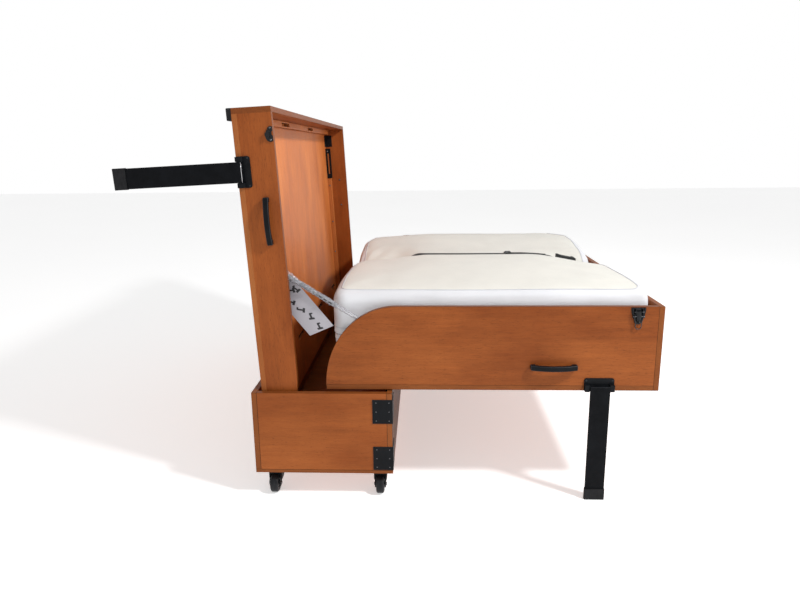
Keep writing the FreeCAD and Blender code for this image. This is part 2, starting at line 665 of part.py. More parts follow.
# ---------------------------------------------------------------- lean the left shell, then set the origin
for label, piece in kept.items():
    if label.startswith("left_") or label == "latch_keepers":
        moved(piece, LEAN)
doc.recompute()
footprint = FreeCAD.BoundBox()
for piece in kept.values():
    footprint.add(piece.Shape.BoundBox)
ORIGIN_SHIFT = -(footprint.XMin + footprint.XMax) / 2
for piece in kept.values():
    moved(piece, Placement(Vector(ORIGIN_SHIFT, 0, 0), Rotation()))
doc.recompute()

# ---------------------------------------------------------------- checks and files
for item in doc.Objects:
    if "Invalid" in item.State or "Error" in item.State:
        raise RuntimeError(f"{item.Name} ({item.Label}) failed: {item.State}")
os.makedirs("parts", exist_ok=True)
for label, piece in kept.items():
    if piece.Shape.isNull() or not piece.Shape.isValid() or not piece.Shape.Solids:
        raise RuntimeError(f"{label} has no valid solid")
    piece.Shape.exportStep(f"parts/{label}.step")
print(len(kept), "sub-parts; footprint", round(footprint.XLength, 1), "x",
      round(footprint.YLength, 1), "x", round(footprint.ZLength, 1), "mm; shift", round(ORIGIN_SHIFT, 3))
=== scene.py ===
"""Folding cabinet bed: materials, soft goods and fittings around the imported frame."""

import json
import math

import bpy
import numpy as np
from mathutils import Matrix, Vector, noise
from mathutils.bvhtree import BVHTree


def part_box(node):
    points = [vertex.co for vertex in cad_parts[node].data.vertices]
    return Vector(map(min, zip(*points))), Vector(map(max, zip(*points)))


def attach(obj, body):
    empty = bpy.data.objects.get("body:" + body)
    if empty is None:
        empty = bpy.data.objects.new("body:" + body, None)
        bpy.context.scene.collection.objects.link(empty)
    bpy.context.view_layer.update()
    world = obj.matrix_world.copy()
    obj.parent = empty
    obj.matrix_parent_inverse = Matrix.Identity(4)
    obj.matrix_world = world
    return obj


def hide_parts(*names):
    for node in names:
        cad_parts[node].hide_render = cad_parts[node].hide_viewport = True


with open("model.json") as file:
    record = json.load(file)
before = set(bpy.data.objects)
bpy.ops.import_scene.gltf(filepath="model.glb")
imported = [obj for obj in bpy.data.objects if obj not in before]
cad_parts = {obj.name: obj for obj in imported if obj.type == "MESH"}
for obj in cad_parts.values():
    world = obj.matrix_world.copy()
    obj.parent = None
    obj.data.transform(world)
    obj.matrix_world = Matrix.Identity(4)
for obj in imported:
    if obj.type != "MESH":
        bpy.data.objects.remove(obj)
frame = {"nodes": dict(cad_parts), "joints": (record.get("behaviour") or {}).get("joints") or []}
nodes = frame["nodes"]
joints = {joint["name"]: joint for joint in frame["joints"]}
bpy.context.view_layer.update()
scene = bpy.context.scene

LEAN = math.radians(2.6)                 # of the upright shell, outwards
BOARD = 0.017
PLY_PAIR = 0.0034                        # two plies, seen as one dark and one light line
AXIS_INSET = 0.005                       # hinge axis above a shell's outer face
LATCH_ALONG, LATCH_UP = 0.785, 0.235     # from the hinge axis, from the outer face
LEG_ALONG = 0.680
HANDLE_ALONG, HANDLE_UP = 0.537, 0.079
KEEPER_UP = 0.092
SIDES = (("near", -1), ("far", 1))

right_axis = Vector(joints["right_shell_hinge"]["pos_m"])
left_axis = Vector(joints["left_shell_hinge"]["pos_m"])
board_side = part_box("right_bottom_panel")[1].y
leaned = Matrix.Translation(left_axis) @ Matrix.Rotation(-LEAN, 4, "Y")


def station(shell, side, along, up):
    """The frame of a fitting on a side board: X along the shell, -Y out of the board, Z to the rim."""
    turn = Matrix.Rotation(0 if side < 0 else math.pi, 4, "Z")
    across = side * board_side
    if shell == "right":
        place = right_axis + Vector((along, across, up - AXIS_INSET))
        return Matrix.Translation(place) @ turn
    upright = Matrix.Translation(Vector((up - AXIS_INSET, across, along)))
    return leaned @ upright @ Matrix.Rotation(math.pi / 2, 4, "Y") @ turn


# ---------------------------------------------------------------- materials
class Graph:
    """A new material, with short calls for its nodes."""

    def __init__(self, name):
        self.material = bpy.data.materials.new(name)
        self.material.use_nodes = True
        self.tree = self.material.node_tree
        self.shader = self.tree.nodes["Principled BSDF"]

    def feed(self, socket, value):
        if isinstance(value, bpy.types.NodeSocket):
            self.tree.links.new(value, socket)
        else:
            socket.default_value = value

    def node(self, kind, settings=(), **inputs):
        made = self.tree.nodes.new("ShaderNode" + kind)
        for name, value in dict(settings).items():
            setattr(made, name, value)
        for name, value in inputs.items():
            self.feed(made.inputs[name.replace("_", " ")], value)
        return made

    def place(self):
        """The piece's own coordinates, which are the row frame at rest."""
        return self.node("TexCoord").outputs["Object"]

    def scaled(self, vector, scale, turn=(0, 0, 0)):
        return self.node("Mapping", Vector=vector, Scale=scale, Rotation=turn).outputs["Vector"]

    def split(self, vector):
        return self.node("SeparateXYZ", Vector=vector).outputs

    def noise(self, vector, scale=1.0, detail=2.0, roughness=0.5):
        return self.node("TexNoise", Vector=vector, Scale=scale, Detail=detail,
                         Roughness=roughness).outputs["Fac"]

    def ramp(self, fac, *stops):
        """Colours or grey levels at places from 0 to 1."""
        made = self.node("ValToRGB", Fac=fac)
        band = made.color_ramp
        while len(band.elements) < len(stops):
            band.elements.new(0.5)
        for element, (at, colour) in zip(band.elements, stops):
            element.position = at
            grey = (colour,) * 3 if isinstance(colour, (int, float)) else colour
            element.color = (*grey, 1)
        return made.outputs["Color"]

    def mix(self, fac, first, second, how="MIX"):
        made = self.node("Mix", dict(data_type="RGBA", blend_type=how))
        self.feed(made.inputs[0], fac)
        for socket, value in ((made.inputs[6], first), (made.inputs[7], second)):
            self.feed(socket, (*value, 1) if isinstance(value, tuple) else value)
        return made.outputs[2]

    def math(self, how, first, second=0.0):
        made = self.node("Math", dict(operation=how))
        self.feed(made.inputs[0], first)
        self.feed(made.inputs[1], second)
        return made.outputs["Value"]

    def bump(self, height, strength, depth):
        return self.node("Bump", Height=height, Strength=strength, Distance=depth).outputs["Normal"]

    def surface(self, **inputs):
        for name, value in inputs.items():
            self.feed(self.shader.inputs[name.replace("_", " ")], value)
        return self.material


def times(colour, factor):
    return tuple(factor * c for c in colour)


def stretched(axis, across, along):
    """Mapping scale for a grain that runs along one axis."""
    return tuple(along if letter == axis else across for letter in "xyz")


def plywood(name, along, thick, dark, light, lean=0.0, edge=None):
    """Stained plywood: figure and pores along the grain, cloudy stain, and plies on its edges."""
    g = Graph(name)
    place = g.scaled(g.place(), (1, 1, 1), (0, lean, 0))
    cloud = g.noise(g.scaled(place, stretched(along, 7, 3)), detail=3, roughness=0.55)
    figure = g.noise(g.scaled(place, stretched(along, 70, 4)), detail=5, roughness=0.6)
    fibre = g.noise(g.scaled(place, stretched(along, 620, 26)), detail=3, roughness=0.6)
    pores = g.ramp(g.noise(g.scaled(place, stretched(along, 900, 70)), detail=1), (0.64, 0.0), (0.72, 1.0))
    between = tuple((a + b) / 2 for a, b in zip(dark, light))
    stain = g.ramp(cloud, (0.3, dark), (0.5, between), (0.72, light))
    streaked = g.mix(0.55, stain, g.ramp(figure, (0.3, 0.42), (0.7, 0.6)), "OVERLAY")
    fine = g.mix(0.5, streaked, g.ramp(fibre, (0.25, 0.38), (0.75, 0.62)), "OVERLAY")
    spots = g.node("TexVoronoi", Vector=g.scaled(place, stretched(along, 13, 9)), Scale=1.0)
    knots = g.ramp(spots.outputs["Distance"], (0.0, 1.0), (0.035, 0.0))
    dots = g.math("ADD", g.math("MULTIPLY", pores, 0.45), g.math("MULTIPLY", knots, 0.15))
    face = g.mix(dots, fine, times(dark, 0.22))

    normal = g.split(g.node("TexCoord").outputs["Normal"])
    facing = g.math("ABSOLUTE", normal[thick.upper()])
    on_edge = g.math("LESS_THAN", facing, 0.6)
    depth = g.split(place)[thick.upper()]
    plies = g.math("SINE", g.math("MULTIPLY", depth, 2 * math.pi / PLY_PAIR))
    bands = g.ramp(g.math("ADD", g.math("MULTIPLY", plies, 0.35), g.math("MULTIPLY", fibre, 0.9)),
                   (0.15, times(edge or dark, 0.45)), (0.75, times(edge or light, 0.85)))
    colour = g.mix(on_edge, face, g.mix(0.55, g.mix(1.0, face, (0.72, 0.80, 0.9), "MULTIPLY"), bands))
    height = g.math("SUBTRACT", g.math("ADD", fibre, g.math("MULTIPLY", figure, 0.5)), pores)
    rough = g.ramp(g.math("ADD", g.math("MULTIPLY", cloud, 0.5), g.math("MULTIPLY", fibre, 0.5)),
                   (0.3, 0.36), (0.7, 0.52))
    return g.surface(Base_Color=colour, Roughness=rough, Specular_IOR_Level=0.14,
                     Normal=g.bump(height, 0.35, 0.0004))


def coated(name, colour, roughness=0.42, gloss=0.12):
    """Powder-coated steel: orange-peel texture, faint dust and polish."""
    g = Graph(name)
    place = g.place()
    dust = g.noise(place, 24, 4, 0.6)
    peel = g.noise(place, 1400, 2)
    shade = g.ramp(dust, (0.35, times(colour, 0.75)), (0.7, times(colour, 1.35)))
    rough = g.ramp(g.noise(place, 60, 3), (0.3, roughness - 0.08), (0.7, roughness + 0.12))
    return g.surface(Base_Color=shade, Roughness=rough, Specular_IOR_Level=gloss,
                     Normal=g.bump(peel, 0.25, 0.0003))


def bare_metal(name, colour, roughness):
    """Plated or ground steel with fine scratches and a slight cast."""
    g = Graph(name)
    place = g.place()
    scratches = g.noise(g.scaled(place, (300, 2200, 2200)), detail=3)
    cast = g.ramp(g.noise(place, 40, 3), (0.3, times(colour, 0.8)), (0.7, colour))
    rough = g.ramp(scratches, (0.3, roughness - 0.06), (0.7, roughness + 0.12))
    return g.surface(Base_Color=cast, Roughness=rough, Metallic=1.0,
                     Normal=g.bump(scratches, 0.15, 0.0002))


def rubber(name, colour, roughness=0.62):
    g = Graph(name)
    place = g.place()
    scuffs = g.noise(g.scaled(place, (90, 90, 30)), detail=4, roughness=0.7)
    shade = g.ramp(scuffs, (0.35, colour), (0.75, tuple(1.8 * c + 0.01 for c in colour)))
    rough = g.ramp(scuffs, (0.3, roughness - 0.1), (0.7, roughness + 0.15))
    return g.surface(Base_Color=shade, Roughness=rough, Specular_IOR_Level=0.15,
                     Normal=g.bump(g.noise(place, 800, 2), 0.3, 0.0004))


def knit(name, colour, rib=0.0022, strength=0.5):
    """Mattress cover knit: rows of small loops over a soft, slightly uneven ground."""
    g = Graph(name)
    place = g.place()
    soft = g.noise(place, 9, 3)
    wander = g.math("MULTIPLY", g.noise(place, 60, 2), 2.0)
    split = g.split(place)
    level = g.math("ADD", split["Y"], split["Z"])
    rows = g.math("SINE", g.math("ADD", g.math("MULTIPLY", level, 2 * math.pi / rib), wander))
    loops = g.math("SINE", g.math("ADD", g.math("MULTIPLY", split["X"], 2 * math.pi / rib), wander))
    stitch = g.math("ADD", g.math("MULTIPLY", rows, loops), g.noise(place, 900, 2))
    fuzz = g.ramp(g.math("ADD", soft, g.math("MULTIPLY", g.noise(place, 380, 3), 0.35)),
                  (0.45, times(colour, 0.93)), (0.85, colour))
    return g.surface(Base_Color=fuzz, Roughness=g.ramp(soft, (0.3, 0.8), (0.7, 0.92)),
                     Sheen_Weight=0.25, Sheen_Roughness=0.5, Specular_IOR_Level=0.2,
                     Normal=g.bump(stitch, strength, 0.0005))


def webbing(name, colour):
    """Flat woven strap: herringbone rows across its width."""
    g = Graph(name)
    place = g.place()
    split = g.split(place)
    along = g.math("ADD", split["X"], split["Z"])
    across = g.math("ABSOLUTE", g.math("SINE", g.math("MULTIPLY", split["Y"], math.pi / 0.005)))
    twill = g.math("SINE", g.math("MULTIPLY", g.math("ADD", along, g.math("MULTIPLY", across, 0.002)),
                                  2 * math.pi / 0.0016))
    shade = g.ramp(g.math("ADD", g.math("MULTIPLY", twill, 0.25), g.noise(place, 300, 2)),
                   (0.3, times(colour, 0.6)), (0.8, times(colour, 1.7)))
    return g.surface(Base_Color=shade, Roughness=g.ramp(twill, (0.2, 0.6), (0.8, 0.75)),
                     Normal=g.bump(twill, 0.6, 0.0004))


def plastic(name, colour, roughness=0.4):
    g = Graph(name)
    place = g.place()
    cloudy = g.noise(place, 30, 3)
    return g.surface(Base_Color=g.ramp(cloudy, (0.3, times(colour, 0.85)), (0.7, colour)),
                     Roughness=g.ramp(cloudy, (0.3, roughness - 0.06), (0.7, roughness + 0.08)),
                     Normal=g.bump(g.noise(place, 1100, 2), 0.15, 0.0002))


def paper(name, colour):
    g = Graph(name)
    place = g.place()
    tooth = g.noise(place, 420, 4)
    shade = g.ramp(g.noise(place, 14, 3), (0.3, times(colour, 0.9)), (0.7, colour))
    return g.surface(Base_Color=shade, Roughness=g.ramp(tooth, (0.3, 0.42), (0.7, 0.58)),
                     Normal=g.bump(tooth, 0.1, 0.0002))


def film(name):
    """Thin clear packing film, milky where it is creased."""
    g = Graph(name)
    place = g.place()
    crease = g.noise(place, 150, 5, 0.65)
    clear = g.ramp(crease, (0.38, 0.10), (0.62, 0.48))
    return g.surface(Base_Color=g.ramp(crease, (0.3, (0.30, 0.29, 0.33)), (0.7, (0.66, 0.65, 0.70))),
                     Roughness=g.ramp(crease, (0.3, 0.08), (0.7, 0.3)), Alpha=clear,
                     Specular_IOR_Level=0.8, Normal=g.bump(crease, 0.6, 0.001))


STAIN_DARK, STAIN_LIGHT = (0.245, 0.061, 0.0115), (0.380, 0.110, 0.025)
PALE_DARK, PALE_LIGHT = (0.47, 0.127, 0.028), (0.68, 0.217, 0.058)
black_steel = coated("black_steel", (0.0045, 0.0053, 0.0068))
# Lighter, glossier coat for bevelled edges and rivet heads: partly worn paint, partly a painted sheen.
black_wear_and_sheen = coated("black_steel_edges", (0.022, 0.024, 0.028), 0.34)
leg_steel = coated("leg_steel", (0.0035, 0.0040, 0.0052), 0.55, gloss=0.08)
bail_steel = coated("bail_steel", (0.020, 0.020, 0.023), 0.25, gloss=0.5)
gloss_black = coated("gloss_black", (0.0035, 0.004, 0.005), 0.22, gloss=0.3)
dark_zinc = bare_metal("dark_zinc", (0.16, 0.16, 0.17), 0.38)
zinc = bare_metal("zinc", (0.62, 0.62, 0.64), 0.34)
chrome = bare_metal("chromed_rod", (0.78, 0.78, 0.8), 0.12)
strut_paint = coated("strut_paint", (0.16, 0.165, 0.175), 0.3)
black_rubber = rubber("black_rubber", (0.006, 0.006, 0.007))
tyre_rubber = rubber("tyre_rubber", (0.009, 0.0095, 0.011), 0.4)
top_knit = knit("mattress_knit", (0.80, 0.785, 0.725))
border_knit = knit("border_knit", (0.73, 0.735, 0.76), 0.0016, 0.35)
seam_thread = knit("seam_tape", (0.62, 0.625, 0.67), 0.001)
black_webbing = webbing("webbing", (0.010, 0.011, 0.012))
black_plastic = plastic("black_plastic", (0.008, 0.009, 0.010))
hub_plastic = plastic("hub_plastic", (0.016, 0.017, 0.020), 0.3)
card_stock = paper("card", (0.40, 0.385, 0.42))
card_ink = paper("card_ink", (0.018, 0.016, 0.02))
card_grey = paper("card_grey", (0.30, 0.29, 0.33))
clear_film = film("clear_film")


# ---------------------------------------------------------------- CAD nodes that stay
def bevel(made, width, segments=2, angle=40):
    edge = made.modifiers.new("edges", "BEVEL")
    edge.width = width
    edge.segments = segments
    edge.limit_method = "ANGLE"
    edge.angle_limit = math.radians(angle)
    made.modifiers.new("normals", "WEIGHTED_NORMAL").keep_sharp = False
    return edge


def dress(name, material, rounding=0.0, edge_material=None):
    """Gives a CAD node its material and, by modifiers only, softened edges."""
    node = nodes[name]
    node.data.materials.clear()
    node.data.materials.append(material)
    if not rounding:
        return
    node.modifiers.new("weld", "WELD").merge_threshold = 1e-5
    edge = bevel(node, rounding)
    if edge_material:
        node.data.materials.append(edge_material)
        edge.material = 1


BOARDS = dict(
    base_floor=("x", "z"), base_left_wall=("y", "x"), base_right_wall=("y", "x"),
    base_near_end=("x", "y"), base_far_end=("x", "y"),
    right_bottom_panel=("x", "z"), right_near_side=("x", "y"), right_far_side=("x", "y"),
    right_end_board=("y", "x"),
    left_near_side=("z", "y"), left_far_side=("z", "y"), left_top_board=("y", "z"),
)
# Painted shade, multiplied into the stain for how the light falls on each board: a little on level boards,
# more on the upright shell's boards and on the right shell's near side, and most on the base's right wall,
# which is painted as in the shadow under the lowered shell; that wall's ply edges stay light.
LEVEL_SHADE, LEANED_SHADE = (0.96, 0.95, 0.93), (0.84, 0.77, 0.70)
OWN_SHADES = dict(base_right_wall=(0.26, 0.29, 0.36), right_near_side=(0.83, 0.80, 0.78))
stain_and_shade_pairs = {}


# A colour multiplied by a painted shade and by a factor.
def with_painted_shade(colour, painted_shade, factor=1.0):
    return tuple(factor * t * c for t, c in zip(painted_shade, colour))


def stain_and_shade(node, along, thick):
    """A board's stain with its painted shade, and the darker one of its arrises, shared by boards that lie
    the same way and are shaded alike.
    """
    tilt = LEAN if node.startswith("left") else 0.0
    label = f"stained_{along}{thick}" + ("_leaned" if tilt else "") + (node if node in OWN_SHADES else "")
    if label not in stain_and_shade_pairs:
        painted_shade = OWN_SHADES.get(node, LEANED_SHADE if tilt else LEVEL_SHADE)
        edge = times(STAIN_LIGHT, 1.7) if node == "base_right_wall" else None
        board = plywood(label, along, thick, with_painted_shade(STAIN_DARK, painted_shade), with_painted_shade(STAIN_LIGHT, painted_shade), tilt, edge)
        arris = plywood(label + "_arris", along, thick, with_painted_shade(STAIN_DARK, painted_shade, 0.42),
                        with_painted_shade(STAIN_LIGHT, painted_shade, 0.6), tilt)
        stain_and_shade_pairs[label] = board, arris
    return stain_and_shade_pairs[label]


for node, (along, thick) in BOARDS.items():
    board_stain_and_shade, arris_stain_and_shade = stain_and_shade(node, along, thick)
    dress(node, board_stain_and_shade, 0.0009, arris_stain_and_shade)
dress("left_back_panel", plywood("pale_panel", "z", "x", PALE_DARK, PALE_LIGHT, LEAN, STAIN_LIGHT), 0.0009)
dress("left_battens", plywood("pale_batten", "z", "x", PALE_DARK, PALE_LIGHT, LEAN), 0.0012)

for node in ("hinge_base_brackets", "left_hinge_leaves", "right_hinge_leaves", "base_corner_plates",
             "left_corner_brackets", "left_leg_brackets", "right_leg_brackets"):
    dress(node, black_steel, 0.0005, black_wear_and_sheen)
for shell in ("left", "right"):
    dress(f"{shell}_handles", black_steel, 0.0018, black_wear_and_sheen)
    dress(f"{shell}_strut_stud", dark_zinc, 0.0004)
    for end, _ in SIDES:
        dress(f"{shell}_leg_{end}", leg_steel, 0.0008, black_wear_and_sheen)
        dress(f"{shell}_foot_cap_{end}", black_rubber, 0.0016)
dress("hinge_pins", zinc)
dress("left_bumpers", black_rubber, 0.002)
dress("caster_plates", black_steel, 0.0005)
dress("strut_cylinder", strut_paint, 0.0008)
dress("strut_rod", chrome, 0.0004)


# ---------------------------------------------------------------- mesh helpers
def piece(name, points, faces, material, body, slot, smooth=True, extra=()):
    """A new mesh piece in the row frame that rides on a body."""
    mesh = bpy.data.meshes.new(name)
    mesh.from_pydata([tuple(p) for p in points], [], [tuple(f) for f in faces])
    mesh.validate()
    for each in (material, *extra):
        mesh.materials.append(each)
    mesh.polygons.foreach_set("use_smooth", [smooth] * len(mesh.polygons))
    made = bpy.data.objects.new(name, mesh)
    scene.collection.objects.link(made)
    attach(made, body)
    return made


class Shape:
    """Points and faces gathered from several simple forms, each placed by a matrix."""

    def __init__(self):
        self.points, self.faces = [], []

    def add(self, points, faces, place=Matrix()):
        start = len(self.points)
        self.points += [place @ Vector(p) for p in points]
        self.faces += [[start + i for i in face] for face in faces]

    def prism(self, outline, low, high, place=Matrix()):
        """An outline of (x, z) points, drawn out along -Y from low to high."""
        count = len(outline)
        points = [(x, -depth, z) for depth in (low, high) for x, z in outline]
        faces = [list(range(count)), list(range(2 * count - 1, count - 1, -1))]
        faces += [[i, i + count, (i + 1) % count + count, (i + 1) % count] for i in range(count)]
        self.add(points, faces, place)

    def lathe(self, profile, place=Matrix(), turns=32):
        """A profile of (radius, height) points turned about Z, closed at both ends."""
        points, faces = [], []
        for step in range(turns):
            angle = 2 * math.pi * step / turns
            points += [(r * math.cos(angle), r * math.sin(angle), h) for r, h in profile]
        rows = len(profile)
        for step in range(turns):
            after = (step + 1) % turns
            for row in range(rows - 1):
                a, b = step * rows + row, after * rows + row
                faces.append([a, b, b + 1, a + 1])
        faces.append([step * rows for step in reversed(range(turns))])
        faces.append([step * rows + rows - 1 for step in range(turns)])
        self.add(points, faces, place)


def sweep(path, section, closed=False):
    """Points and faces of a section carried along a path; section(i) gives offsets at point i."""
    rings = [[point + offset for offset in section(i)] for i, point in enumerate(path)]
    size, count = len(rings[0]), len(rings)
    points = [p for ring in rings for p in ring]
    faces = []
    for i in range(count if closed else count - 1):
        j = (i + 1) % count
        faces += [[i * size + k, i * size + (k + 1) % size, j * size + (k + 1) % size, j * size + k]
                  for k in range(size)]
    if not closed:
        faces += [list(range(size))[::-1], [(count - 1) * size + k for k in range(size)]]
    return points, faces


def sheet_faces(rows, wide):
    """Faces of a thin sheet whose outer grid of points is followed by its inner one."""
    size = rows * wide
    faces = []
    for i in range(rows - 1):
        for j in range(wide - 1):
            a = i * wide + j
            faces.append([a, a + 1, a + wide + 1, a + wide])
            faces.append([size + a + wide, size + a + wide + 1, size + a + 1, size + a])
    rim = [*range(wide), *range(2 * wide - 1, size, wide), *range(size - 2, size - wide - 1, -1),
           *range(size - 2 * wide, 0, -wide)]
    faces += [[b, a, size + a, size + b] for a, b in zip(rim, rim[1:] + rim[:1])]
    return faces


def along_path(path, i, closed):
    before = path[i - 1] if closed or i else path[0]
    after = path[(i + 1) % len(path)] if closed or i < len(path) - 1 else path[-1]
    return (after - before).normalized()


def tube(path, radius, closed=False, sides=8):
    """A round tube along a path."""
    unaligned = Vector((0.13, 0.21, 0.97))       # no path runs along it

    def section(i):
        direction = along_path(path, i, closed)
        side = direction.cross(unaligned).normalized()
        other = side.cross(direction)
        return [(side * math.cos(a) + other * math.sin(a)) * radius
                for a in (2 * math.pi * k / sides for k in range(sides))]
    return sweep(path, section, closed)


def formed(name, shape, material, body, slot, **options):
    return piece(name, shape.points, shape.faces, material, body, slot, **options)


def box_outline(x0, x1, z0, z1):
    return [(x0, z0), (x1, z0), (x1, z1), (x0, z1)]


def headed_pin(radius, head_radius, neck, reach, place, tip=0.0005):
    """A pin across X with a flat head at each end."""
    shape = Shape()
    shape.lathe([(tip, -reach), (head_radius, -reach), (head_radius, -neck), (radius, -neck), (radius, neck),
                 (head_radius, neck), (head_radius, reach), (tip, reach)],
                place @ Matrix.Rotation(math.pi / 2, 4, "Y"), 16)
    return shape


def smoothstep(value):
    value = np.clip(value, 0.0, 1.0)
    return value * value * (3 - 2 * value)


# ---------------------------------------------------------------- mattress
MATTRESS_LOW, MATTRESS_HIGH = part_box("mattress")
LAYER_TOP = MATTRESS_LOW.z + 0.148       # where the two folded layers meet
CROWN_AT = 0.31                          # distance of each crown from the middle
CROWN_TOP = MATTRESS_HIGH.z + 0.001
VALLEY_TOP = MATTRESS_HIGH.z - 0.041
SEAM_INSET = 0.034
SEAM_CORNER = 0.022
STRAP_HALF = 0.020
ACROSS = Vector((0, 1, 0))


def slab(low, high, corner, top, bottom, step):
    """A closed box of even cells with rounded corners in plan and rounded top and bottom edges."""
    size = high - low
    cells = [max(3, round(s / step)) for s in size]
    index, points = {}, []

    def rounded(p):
        core = Vector((min(max(p.x, low.x + corner), high.x - corner),
                       min(max(p.y, low.y + corner), high.y - corner)))
        out = p.xy - core
        if out.length < 1e-9:
            return p
        out *= max(abs(out.x), abs(out.y)) / out.length
        inset = corner - out.length
        above = p.z > (low.z + high.z) / 2
        depth, radius = (high.z - p.z, top) if above else (p.z - low.z, bottom)
        if inset < radius and depth < radius:
            away, over = radius - inset, radius - depth
            scale = max(away, over) / math.hypot(away, over)
            inset, depth = radius - away * scale, radius - over * scale
        plan = core + out.normalized() * (corner - inset)
        return Vector((*plan, high.z - depth if above else low.z + depth))

    def corner_of(key):
        if key not in index:
            index[key] = len(points)
            points.append(rounded(Vector([low[a] + size[a] * key[a] / cells[a] for a in range(3)])))
        return index[key]

    faces = []
    for axis in range(3):
        u, w = (axis + 1) % 3, (axis + 2) % 3
        for end in (0, cells[axis]):
            for i in range(cells[u]):
                for j in range(cells[w]):
                    ring = []
                    for di, dj in ((0, 0), (1, 0), (1, 1), (0, 1)):
                        key = [0, 0, 0]
                        key[axis], key[u], key[w] = end, i + di, j + dj
                        ring.append(corner_of(tuple(key)))
                    faces.append(ring if end else ring[::-1])
    return points, faces


def valley_line(x):
    """Where across the bed the valley and the strap in it run: towards the near side at the end board."""
    return -0.08 * smoothstep((x - 0.50) / 0.28)


def crown_height(x, y):
    """Height of the folded mattress's top: two crowns and the valley that the strap pulls."""
    line = valley_line(x)
    t, far = np.abs(y - line), y > line
    inner = VALLEY_TOP + (CROWN_TOP - VALLEY_TOP) * smoothstep(t / CROWN_AT) ** 0.8
    beyond = np.clip(np.abs(y) - CROWN_AT, 0, 1)
    outer = CROWN_TOP - np.where(far, 0.115 * beyond, 0.155 * beyond ** 2)
    height = np.where(t < CROWN_AT, np.minimum(inner, outer), outer)
    from_left, from_right = x - MATTRESS_LOW.x, MATTRESS_HIGH.x - x
    left, right = 1 - smoothstep(from_left / 0.36), 1 - smoothstep(from_right / 0.30)
    near_sag = (0.026 * left + 0.024 * right) * (1 - smoothstep((t - 0.28) / 0.35))
    far_sag = 0.004 + 0.018 * left
    left_dip = 0.055 * (1 - smoothstep((from_left - 0.16) / 0.12)) * np.exp(-(t / 0.09) ** 2)
    right_dip = 0.040 * (1 - smoothstep((from_right - 0.09) / 0.09)) * np.exp(-(t / 0.05) ** 2)
    middle = np.exp(-(t / 0.09) ** 2) * (1 - right)
    return height - left_dip - right_dip - (1 - middle) * np.where(far, far_sag, near_sag)


def inflate(made, held, pressure, cap, frames=20):
    """Cloth under inner pressure, with some points held and every point's travel capped."""
    count = len(made.data.vertices)
    rest = np.empty(count * 3)
    made.data.vertices.foreach_get("co", rest)
    group = made.vertex_groups.new(name="held")
    group.add([int(i) for i in held], 1.0, "REPLACE")
    cloth = made.modifiers.new("cloth", "CLOTH")
    cloth.settings.quality = 4
    cloth.settings.mass = 0.25
    cloth.settings.tension_stiffness = 12
    cloth.settings.compression_stiffness = 12
    cloth.settings.bending_stiffness = 0.4
    cloth.settings.use_pressure = True
    cloth.settings.uniform_pressure_force = pressure
    cloth.settings.vertex_group_mass = "held"
    cloth.settings.effector_weights.gravity = 0
    cloth.point_cache.frame_end = frames
    for number in range(1, frames + 1):
        scene.frame_set(number)
    posed = made.evaluated_get(bpy.context.evaluated_depsgraph_get())
    moved = np.empty(count * 3)
    posed.data.vertices.foreach_get("co", moved)
    made.modifiers.remove(cloth)
    made.vertex_groups.remove(group)
    scene.frame_set(1)
    shift = (moved - rest).reshape(-1, 3)
    length = np.maximum(np.linalg.norm(shift, axis=1), 1e-9)
    shift *= (cap * np.tanh(length / cap) / length)[:, None]
    made.data.vertices.foreach_set("co", (rest.reshape(-1, 3) + shift).ravel())
    made.data.update()


def read_points(made):
    flat = np.empty(len(made.data.vertices) * 3)
    made.data.vertices.foreach_get("co", flat)
    return flat.reshape(-1, 3)


def write_points(made, points):
    made.data.vertices.foreach_set("co", points.ravel())
    made.data.update()


def wrinkle(points, top):
    """Soft unevenness everywhere and gathers that fan out from the strap at both ends."""
    out = points.copy()
    gathers = ((MATTRESS_LOW.x + 0.01, 0.16, 0.0042), (MATTRESS_HIGH.x - 0.01, 0.11, 0.003))
    for i, (x, y, z) in enumerate(points):
        slow = noise.noise(Vector((x * 4.0, y * 4.0, z * 5.0)))
        out[i, 2] += 0.0022 * slow if top else 0.0
        for end_x, reach, depth in gathers:
            away = math.hypot(x - end_x, y)
            if away < reach * 2.2 and z > MATTRESS_HIGH.z - 0.09:
                turn = math.atan2(y, abs(x - end_x) + 0.02)
                folds = math.sin(turn * 15 + 3 * noise.noise(Vector((turn * 2, away * 9, 3.1))))
                rise = math.exp(-(away / reach) ** 2) * min(1.0, away / 0.03)
                out[i, 2] += depth * folds * rise
        if z < MATTRESS_HIGH.z - 0.045:
            ripple = noise.noise(Vector((x * 9.0, y * 9.0, z * 30.0 + 5)))
            out[i, 1] -= math.copysign(0.0022 * (ripple + 0.6) * (abs(y) > 0.6), y)
            out[i, 0] -= math.copysign(0.0022 * (ripple + 0.6), x - 0.3) * (abs(y) <= 0.6)
    return out


